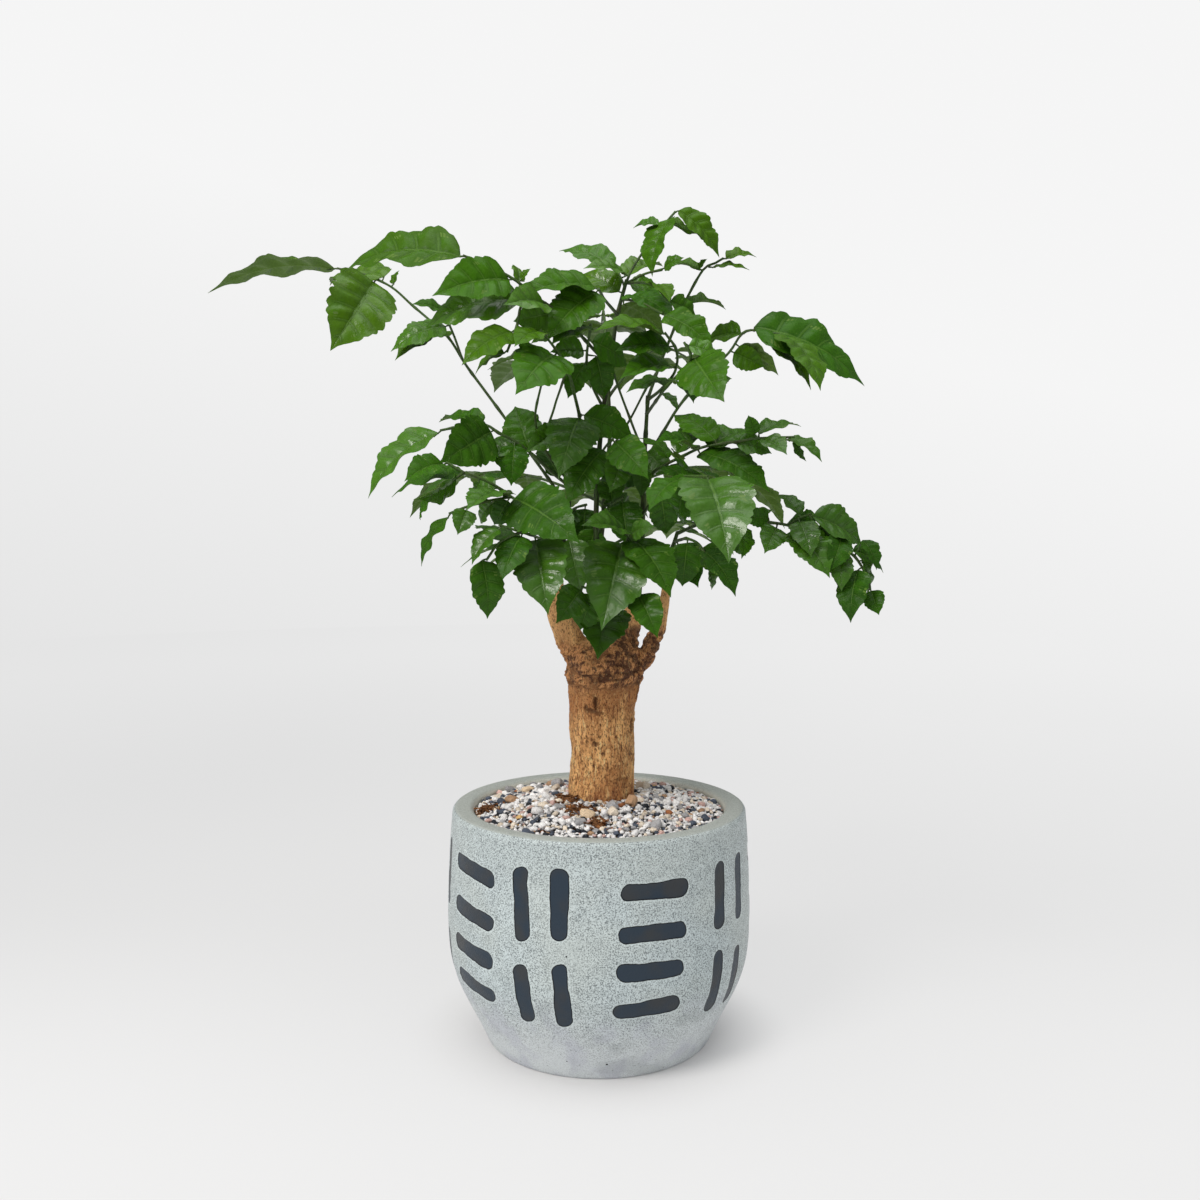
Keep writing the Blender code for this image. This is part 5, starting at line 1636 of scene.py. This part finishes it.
def leaf_age_and_light(leaflet, draw):
    """0 for a dark leaflet low on the plant and deep in its crown, and 1 for a bright one high and far out:
    older growth lies lower, and the value also carries painted light at the top and painted shade deep
    inside.
    """
    height = (leaflet.base.z + leaflet.tip.z) / 2 / MM
    middle = leaflet.base.lerp(leaflet.tip, 0.5) / MM
    outward = smooth_step(math.hypot(middle.x, middle.y), *INNER_SHADE_REACHES)
    age = smooth_step(height, *AGE_AND_LIGHT_HEIGHTS) - 0.3 + 0.3 * outward + draw.uniform(-0.25, 0.25)
    return max(0.0, min(1.0, age))


def add_stem_piece(kind, stem, shape, finish, sharp_angle):
    """A piece that stands for part of a stem's solid."""
    name = stem.replace(" ", "_")
    return add_piece(kind + name, *shape, finish, "foliage", ("leafy_stem_" + name,), sharp_angle)


def add_leaflets(settings, grown):
    draw = random.Random(LEAF_SEED)
    finish = leaf_finish(settings)
    for stem, parts in grown.items():
        points, faces, marks, unders, age_and_light_values = [], [], [], [], []
        # Painted light: the front stem's leaflets, which the leaves above shade, are given at least this
        # lightness
        least = settings.front_painted_light if stem == "front" else 0
        for leaflet in parts["leaflets"]:
            age = leaf_age_and_light(leaflet, draw)
            blade_points, blade_faces, blade_marks, under = fine_blade(leaflet, settings, draw, least)
            append_shape(points, faces, (blade_points, blade_faces))
            marks += blade_marks
            unders += under
            age_and_light_values += [age] * len(blade_points)
        piece = add_stem_piece("leaflets_", stem, (points, faces), finish, 60)
        store(piece, "blade", "FLOAT_VECTOR", marks)
        store(piece, "under", "FLOAT", unders)
        store(piece, "age", "FLOAT", age_and_light_values)


def leaf_finish(settings):
    finish = Finish("glossy_leaf", 0.34, 0.3)
    band, times, over = finish.band, finish.times, finish.over
    column, veins, chance = finish.split(finish.attribute("blade", "Vector"))
    out = finish.calc("ABSOLUTE", column)
    age, under = finish.attribute("age"), finish.attribute("under")
    # Leaflet colour runs from older to younger growth, and carries painted shade deep in the crown and
    # painted light at its top
    finish.colour = finish.mix(band(age, 0.05, 0.5), settings.old_leaf_and_painted_shade, settings.green)
    over(settings.young_leaf_and_painted_light, band(age, 0.5, 1.0))
    own = finish.mix(chance, (0.58, 0.66, 1.0), (1.28, 1.16, 0.95))
    finish.colour = finish.mix(1.0, finish.colour, own, "MULTIPLY")
    over(settings.green, band(finish.noise(0.012), 0.45, 0.7, 0, 0.35))
    beside = finish.calc("FRACT", finish.plus(veins, 0.5))
    beside = finish.calc("ABSOLUTE", finish.minus(beside, 0.5))
    side_vein = times(band(beside, 0.07, 0.02), band(out, 1.0, 0.5))
    line = finish.most(times(side_vein, 0.38), times(band(out, 0.05, 0.018), 0.6))
    net = times(band(finish.cells(0.0034, "DISTANCE_TO_EDGE"), 0.09, 0.02), 0.3)
    # Painted shade in the creases beside the side veins and along the midrib
    crease_shade = times(band(beside, 0.2, 0.04), band(out, 1.0, 0.6, 0, 0.5))
    crease_shade = finish.most(crease_shade, band(out, 0.16, 0.04, 0, 0.45))
    over(finish.mix(1.0, finish.colour, (0.45, 0.5, 0.6), "MULTIPLY"), crease_shade)
    over(settings.vein, finish.most(line, times(net, 0.4)))
    over(finish.mix(finish.most(line, net), settings.under, settings.under_vein), under)
    dull = band(finish.noise(0.02), 0.35, 0.7, 0.27, 0.44)
    finish.set("Roughness", finish.plus(dull, times(under, 0.2)))
    finish.set("Specular IOR Level", band(chance, 0.45, 0.95, 0.12, 0.5))
    finish.bump(finish.noise(0.0055), 0.0011, 0.6)
    finish.bump(times(line, -1.0), 0.0005, 0.7)
    return finish.done()


def fine_tube(route, radii, sides, spacing):
    """A smooth tube along a route, a little swollen at its joints, with each point's share along it."""
    smooth = smooth_route(route, FINE_ROUTE_STEP * MM)
    steps = [(after - here).length for here, after in zip(smooth, smooth[1:])]
    joints = [joint * spacing for joint in range(int(sum(steps) / MM / spacing) + 1)]
    thick = []
    run = 0
    for index in range(len(smooth)):
        if index:
            run += steps[index - 1] / MM
        swell = sum(math.exp(-((run - joint) / JOINT_LENGTH) ** 2) for joint in joints)
        plain = radii[0] + (radii[1] - radii[0]) * index / (len(smooth) - 1)
        thick.append(plain * (1 + JOINT_SWELL * min(swell, 1)))
    points, faces = tube(smooth, thick, sides)
    return points, faces, [index // sides / (len(smooth) - 1) for index in range(len(points))]


def stalk_form(leaflet, radius):
    """A leaflet's thin stalk, from its rachis into its blade."""
    reach = leaflet.base + leaflet.along * leaflet.length * 0.05
    lifted = leaflet.root.lerp(leaflet.base, 0.6)
    route = smooth_route([leaflet.root, lifted, leaflet.base, reach], 2 * MM)
    radii = [radius * (1.25 - 0.6 * index / (len(route) - 1)) for index in range(len(route))]
    return tube(route, radii, STALK_FINE_SIDES)


def add_stems(settings, grown):
    finish = stem_finish(settings)
    for stem, parts in grown.items():
        points, faces, age_and_light_values = [], [], []
        for number, (route, radii, _) in enumerate(parts["tubes"]):
            slim, sides, spacing = PETIOLE_LOOK if number else STEM_LOOK
            radii = [radius * slim for radius in radii]
            tube_points, tube_faces, shares = fine_tube(route, radii, sides, spacing)
            append_shape(points, faces, (tube_points, tube_faces))
            age_and_light_values += [0.7 + 0.3 * share if number else share * 0.8 for share in shares]
        for leaflet in parts["leaflets"]:
            append_shape(points, faces, stalk_form(leaflet, settings.stalk / MM))
        age_and_light_values += [1.0] * (len(points) - len(age_and_light_values))
        piece = add_stem_piece("stems_", stem, (points, faces), finish, 50)
        store(piece, "age", "FLOAT", age_and_light_values)


def stem_finish(settings):
    finish = Finish("green_stem", 0.5, 0.4)
    age = finish.attribute("age")
    fibre = finish.noise(0.0016, 3, 0.5, finish.stretched(0.2))
    finish.colour = finish.mix(finish.band(age, 0.02, 0.22), settings.stem_wood, settings.stem)
    finish.over(settings.stem_young, finish.band(age, 0.5, 1.0))
    finish.over(settings.stem_wood, finish.band(finish.noise(0.01), 0.5, 0.7, 0, 0.4))
    finish.over(settings.vein, finish.band(fibre, 0.42, 0.6, 0, 0.3))
    finish.bump(fibre, 0.0005, 0.6)
    return finish.done()


def add_floor(settings):
    """A wide pale floor that fades at its rim into the backdrop, its light mostly painted: it glows,
    brighter in front and to the right, and glows less round the pot's foot as a painted contact shadow.
    """
    points, faces = [Vector((0, 0, 0))], []
    for ring in range(1, FLOOR_RINGS + 1):
        radius = settings.floor_radius * (ring / FLOOR_RINGS) ** 1.5
        for angle in turns(FLOOR_SIDES):
            points.append(Vector((radius * math.cos(angle), radius * math.sin(angle), 0)))
    for side in range(FLOOR_SIDES):
        faces.append((0, 1 + side, 1 + (side + 1) % FLOOR_SIDES))
    faces += [tuple(1 + index for index in reversed(face)) for face in ring_faces(FLOOR_RINGS, FLOOR_SIDES)]
    finish = Finish("pale_floor", 0.9, 0.1)
    finish.colour = settings.floor
    across, depth, _ = finish.split(finish.place)
    distance = finish.reckon("LENGTH")["Value"]
    reach, foot = settings.floor_radius, POT_WALL[0][0] * MM
    # The floor's glow is painted light: brighter in front and to the right, dimmer behind to the left, and
    # in the backdrop's colours far out
    middle = finish.mix(finish.band(across, -0.7, 0.7), settings.floor_left_painted_light, settings.floor_right_painted_light)
    near = finish.mix(finish.band(depth, 0.3, -0.2), middle, settings.floor_front_painted_light)
    far = finish.mix(finish.band(across, -1.9, 1.9), settings.far_left, settings.far_right)
    glow = finish.add("Emission")
    finish.fill(glow, finish.mix(finish.band(distance, reach * 0.25, reach * 0.8), near, far))
    even = finish.band(distance, reach * 0.08, reach * 0.45, settings.glow, 1.0)
    # Painted contact shadow: the floor glows less round the pot's foot, so that its shadow shows darker
    painted_contact_shadow = finish.times(finish.band(distance, foot * 1.8, foot), 0.85)
    even = finish.times(even, finish.minus(1.0, painted_contact_shadow))
    both = finish.fill(finish.add("MixShader"), even, finish.shader.outputs[0], glow.outputs[0])
    finish.feed(finish.nodes["Material Output"].inputs["Surface"], both)
    floor = mesh_object("floor", points, faces)
    floor.data.materials.append(finish.done())


def add_light(name, place, target, power, width, tint):
    light = bpy.data.lights.new(name, "AREA")
    light.energy = power
    light.color = tint
    light.shape = "DISK"
    light.size = width
    lamp = place_object(name, light)
    lamp.location = place
    lamp.rotation_euler = (Vector(target) - Vector(place)).to_track_quat("-Z", "Y").to_euler()


def add_backdrop(settings):
    """A pale surround, brighter overhead and to the right, and the soft light that it gives."""
    world = bpy.data.worlds.new("studio")
    world.use_nodes = True
    shades = Shades(world.node_tree)
    across, _, upward = shades.split(shades.add("TexCoord").outputs["Generated"])
    grounds = shades.nodes["Background"], shades.add("Background")
    ramps = (
        (settings.backdrop_tilt, -0.22, 0.18, settings.far_left, settings.zenith),
        (-settings.light_tilt, -0.1, 1.0, settings.dim, settings.bright),
    )
    for ground, (tilt, start, end, low, high) in zip(grounds, ramps):
        height = shades.calc("MULTIPLY_ADD", across, tilt, upward)
        shades.fill(ground, shades.mix(shades.band(height, start, end, kind="LINEAR"), low, high))
    seen, light = (ground.outputs[0] for ground in grounds)
    ray = shades.add("LightPath").outputs
    calm = shades.calc("MULTIPLY_ADD", ray["Is Glossy Ray"], settings.sheen - 1, 1)
    shades.feed(grounds[1].inputs["Strength"], calm)
    both = shades.fill(shades.add("MixShader"), ray["Is Camera Ray"], light, seen)
    shades.feed(shades.nodes["World Output"].inputs["Surface"], both)
    bpy.context.scene.world = world


def set_stage(settings):
    add_floor(settings)
    add_backdrop(settings)
    add_light("key", *KEY_LIGHT, settings.key_power, settings.key_size, settings.key_tint)
    add_light("top", *TOP_LIGHT, settings.top_power, TOP_LIGHT_WIDTH, (1, 1, 1))
    lens = bpy.data.cameras.new("camera")
    lens.lens = settings.lens
    lens.sensor_width = settings.lens
    camera = place_object("camera", lens)
    camera.location = Vector(EYE) * MM
    camera.rotation_euler = (math.pi / 2 - settings.camera_dip, 0, 0)
    bpy.context.scene.camera = camera
    bpy.context.scene.view_settings.view_transform = "Standard"


def length(name, description, default):
    return FloatProperty(
        name=name, description=description, default=default, min=0, unit="LENGTH", precision=5,
    )


def colour(name, description, default):
    return FloatVectorProperty(
        name=name, description=description, default=default, size=3, min=0, max=1, subtype="COLOR",
    )


def share(name, description, default):
    return FloatProperty(
        name=name, description=description, default=default, min=0, max=1, subtype="FACTOR",
    )


def number(name, description, default, **limits):
    return FloatProperty(name=name, description=description, default=default, **limits)


def amount(name, description, default):
    return IntProperty(name=name, description=description, default=default, min=0)


class PotSettings(bpy.types.PropertyGroup):
    stroke_depth: length("Stroke depth", "How far the brush strokes lie below the glaze", 0.0004)
    coat: colour("Glaze", "The glaze on the wall", (0.54, 0.60, 0.585))
    coat_cool: colour("Cool glaze", "Cooler clouds in the glaze", (0.54, 0.615, 0.625))
    # Low glaze is painted light: a paler tone towards the base, in place of the light thrown up from the
    # floor
    coat_low_painted_light: colour("Low glaze", "The smoother glaze above the base", (0.65, 0.69, 0.70))
    coat_top: colour("Top glaze", "The glaze under the lip", (0.50, 0.555, 0.55))
    lip: colour("Lip", "The greener glaze on the lip", (0.405, 0.435, 0.405))
    inside: colour("Inside", "The bare glaze inside the lip", (0.62, 0.62, 0.55))
    moss: colour("Stains", "Brown stains inside the lip", (0.17, 0.14, 0.07))
    stain: colour("Lilac stains", "Lilac stains above the base", (0.43, 0.44, 0.52))
    speckle: colour("Speckle", "Dark specks and crackle lines", (0.115, 0.135, 0.14))
    halo: colour("Pale edge", "The paler glaze beside each stroke", (0.60, 0.68, 0.68))
    ink: colour("Strokes", "The blue-black of the brush strokes", (0.021, 0.036, 0.055))
    ink_warm: colour("Warm strokes", "Browner parts of the strokes", (0.036, 0.040, 0.044))
    ink_edge: colour("Stroke edges", "The darkest colour, at the strokes' edges", (0.004, 0.006, 0.009))


class GravelSettings(bpy.types.PropertyGroup):
    pebble_count: amount("Pebbles", "How many common pebbles are laid", 1700)
    large_count: amount("Large pebbles", "How many large pebbles are laid", 30)
    grit_count: amount("Grit", "How many grains fill the gaps", 2200)
    pebble_low: length("Smallest pebble", "Half the length of the smallest common pebble", 0.0016)
    pebble_high: length("Largest pebble", "Half the length of the largest common pebble", 0.0034)
    white: colour("White", "White stones", (0.91, 0.905, 0.90))
    cream: colour("Cream", "Cream stones", (0.80, 0.70, 0.57))
    grey: colour("Grey", "Grey stones", (0.38, 0.38, 0.39))
    sand: colour("Sand", "Sand-coloured large stones", (0.80, 0.62, 0.42))
    slate: colour("Slate", "Blue-grey stones", (0.085, 0.105, 0.145))
    black: colour("Black", "Black stones", (0.022, 0.026, 0.034))
    pink: colour("Pink", "Pink stones", (0.68, 0.45, 0.40))
    tan: colour("Tan", "Tan stones", (0.50, 0.31, 0.18))
    rust: colour("Rust", "Rust brown stones", (0.36, 0.13, 0.045))
    ochre: colour("Ochre", "Ochre stones", (0.70, 0.45, 0.18))
    bed: colour("Bed", "The packed grit between the stones", (0.10, 0.08, 0.07))
    bed_dark: colour("Dark bed", "The dark parts of the packed grit", (0.018, 0.015, 0.014))
    chip: colour("Bark chips", "Chips of bark on the pebbles", (0.22, 0.10, 0.04))
    chip_warm: colour("Warm chips", "Redder chips", (0.38, 0.16, 0.055))
    chip_dark: colour("Dark chips", "The dark fibres of the chips", (0.05, 0.02, 0.01))
    soil: colour("Soil", "The potting soil", (0.05, 0.03, 0.02))
    soil_dark: colour("Dark soil", "Between the crumbs of soil", (0.015, 0.01, 0.007))
    fibre: colour("Fibres", "Fibres in the soil", (0.14, 0.085, 0.045))


class TrunkSettings(bpy.types.PropertyGroup):
    skin: length("Skin", "Size of the faces of the bark", 0.00085)
    relief: share("Relief", "How far the bark's form is raised", 1.0)
    bark: colour("Bark", "The tan bark", (0.68, 0.335, 0.118))
    streak: colour("Streaks", "Pale streaks up the bark", (0.95, 0.56, 0.23))
    bark_warm: colour("Warm bark", "Redder clouds in the bark", (0.42, 0.165, 0.055))
    bark_red: colour("Red bark", "Red brown mottling", (0.20, 0.066, 0.028))
    # Knobs is also painted light: its tan spreads on the crown's left, where the light falls
    knob: colour("Knobs", "The raised parts of the crown", (0.62, 0.285, 0.11))
    # Dark bark also paints the shade in the crown's hollows
    bark_dark: colour("Dark bark", "Cracks and scars", (0.07, 0.028, 0.014))
    # Crown is also painted shade: its dark spreads on the crown's right
    crown: colour("Crown", "The knobbly crown", (0.085, 0.030, 0.018))
    limb: colour("Limbs", "The smoother limbs", (0.80, 0.47, 0.20))
    flake: colour("Flakes", "Pale flakes of bark", (0.86, 0.64, 0.30))


class FoliageSettings(bpy.types.PropertyGroup):
    thickness: length("Blade", "Thickness of a leaflet", 0.00034)
    stalk: length("Stalk", "Radius of a leaflet's stalk", 0.0006)
    breadth: number("Breadth", "Width of every leaflet, as a share", 1.0, min=0.5, max=2)
    tooth: share("Teeth", "Depth of a tooth as a share of the half width", 0.058)
    quilt: share("Quilting", "How far the blade swells between its veins, as a share of its length", 0.04)
    ripple: share("Ripple", "How far the margin waves, as a share of the width", 0.045)
    # Painted light on the front stem's leaflets, which the leaves above shade
    front_painted_light: share("Front tone", "How light the leaflets of the front stem are at least", 0.5)
    # The first and last leaf colours carry painted shade deep in the crown and painted light at its top,
    # besides the tones of older and younger growth
    old_leaf_and_painted_shade: colour("Old leaf", "Old leaflets, low on the plant", (0.032, 0.104, 0.005))
    green: colour("Leaf", "Grown leaflets", (0.044, 0.148, 0.004))
    young_leaf_and_painted_light: colour("Young leaf", "Young leaflets, at the top", (0.060, 0.152, 0.002))
    vein: colour("Veins", "Veins on the upper face", (0.09, 0.19, 0.025))
    under: colour("Underside", "The paler underside", (0.088, 0.168, 0.023))
    under_vein: colour("Underside veins", "Raised veins on the underside", (0.14, 0.235, 0.05))
    stem: colour("Stem", "Green stems", (0.02, 0.033, 0.009))
    stem_young: colour("Young stem", "Leaf stalks", (0.04, 0.085, 0.014))
    stem_wood: colour("Woody stem", "Brown at the foot of a stem", (0.06, 0.032, 0.017))


class StageSettings(bpy.types.PropertyGroup):
    floor_radius: length("Floor", "How far the floor reaches", 3.2)
    floor: colour("Floor", "The pale floor where it takes shadows", (0.66, 0.66, 0.66))
    glow: share("Glow", "How much of the floor's light is even, so that shadows stay faint", 0.74)
    # The next three floor colours are painted light: the floor's glow, brighter in front and to the right
    floor_front_painted_light: colour("Front of the floor", "The floor before the pot", (0.86, 0.86, 0.86))
    floor_left_painted_light: colour("Left of the floor", "The floor behind to the left", (0.745, 0.745, 0.745))
    floor_right_painted_light: colour("Right of the floor", "The floor behind to the right", (0.81, 0.81, 0.81))
    far_left: colour("Far left", "The backdrop where the floor ends at the left", (0.78, 0.78, 0.78))
    far_right: colour("Far right", "The backdrop where the floor ends at the right", (0.855, 0.855, 0.855))
    zenith: colour("Overhead", "The backdrop overhead", (0.915, 0.915, 0.915))
    backdrop_tilt: number("Tilt", "How much sooner the right side brightens", 0.25)
    light_tilt: number("Light tilt", "How much brighter the light's left side is", 0.1)
    dim: colour("Light from the sides", "The even light from low down", (0.30, 0.30, 0.31))
    sheen: share("Sheen", "How bright the surround is in reflections, against the light it gives", 0.2)
    key_size: length("Key size", "How wide the key light is", 0.9)
    key_tint: colour("Key tint", "Colour of the key light", (1.0, 0.955, 0.92))
    bright: colour("Light from above", "The even light from overhead", (1.0, 1.0, 1.0))
    key_power: number("Key", "Power of the key light", 31, min=0, subtype="POWER")
    top_power: number("Top", "Power of the top light", 14, min=0, subtype="POWER")
    lens: number("Lens", "Lens and film width in millimetres", 36, min=1)
    camera_dip: number("Dip", "How far the camera looks down", math.radians(4.4), subtype="ANGLE")


class PLANT_OT_add_pot(bpy.types.Operator):
    """Add the glazed pot with its brush strokes"""
    bl_idname = "plant.add_pot"
    bl_label = "Pot"

    def execute(self, context):
        add_pot(context.scene.plant_pot)
        return {"FINISHED"}


class PLANT_OT_add_gravel(bpy.types.Operator):
    """Add the soil's finish, the bed of grit and the pebbles on it"""
    bl_idname = "plant.add_gravel"
    bl_label = "Soil and pebbles"

    def execute(self, context):
        add_soil(context.scene.plant_gravel)
        add_gravel(context.scene.plant_gravel)
        return {"FINISHED"}


class PLANT_OT_add_trunk(bpy.types.Operator):
    """Add the scarred trunk and its limbs"""
    bl_idname = "plant.add_trunk"
    bl_label = "Trunk"

    def execute(self, context):
        add_trunk(context.scene.plant_trunk)
        return {"FINISHED"}


class PLANT_OT_add_foliage(bpy.types.Operator):
    """Add the green stems and every leaflet"""
    bl_idname = "plant.add_foliage"
    bl_label = "Stems and leaflets"

    def execute(self, context):
        grown = grow_foliage()
        add_stems(context.scene.plant_foliage, grown)
        add_leaflets(context.scene.plant_foliage, grown)
        return {"FINISHED"}


class PLANT_OT_set_stage(bpy.types.Operator):
    """Set the floor, backdrop, lights and camera"""
    bl_idname = "plant.set_stage"
    bl_label = "Stage"

    def execute(self, context):
        set_stage(context.scene.plant_stage)
        return {"FINISHED"}


GROUPS = {
    "plant_pot": PotSettings,
    "plant_gravel": GravelSettings,
    "plant_trunk": TrunkSettings,
    "plant_foliage": FoliageSettings,
    "plant_stage": StageSettings,
}
OPERATORS = (
    PLANT_OT_add_pot, PLANT_OT_add_gravel, PLANT_OT_add_trunk, PLANT_OT_add_foliage, PLANT_OT_set_stage,
)


class PLANT_PT_sidebar(bpy.types.Panel):
    """The plant's pieces and their settings"""
    bl_idname = "PLANT_PT_sidebar"
    bl_label = "Potted china doll plant"
    bl_space_type = "VIEW_3D"
    bl_region_type = "UI"
    bl_category = "Plant"

    def draw(self, context):
        for operator, (name, group) in zip(OPERATORS, GROUPS.items()):
            box = self.layout.box()
            box.operator(operator.bl_idname)
            for setting in group.__annotations__:
                box.prop(getattr(context.scene, name), setting)


CLASSES = tuple(GROUPS.values()) + OPERATORS + (PLANT_PT_sidebar,)


def register():
    for group in CLASSES:
        bpy.utils.register_class(group)
    for name, group in GROUPS.items():
        setattr(bpy.types.Scene, name, PointerProperty(type=group))


def unregister():
    for name in GROUPS:
        delattr(bpy.types.Scene, name)
    for group in reversed(CLASSES):
        bpy.utils.unregister_class(group)


def main():
    register()
    bpy.ops.plant.add_pot()
    bpy.ops.plant.add_gravel()
    bpy.ops.plant.add_trunk()
    bpy.ops.plant.add_foliage()
    bpy.ops.plant.set_stage()


if __name__ == "__main__":
    main()
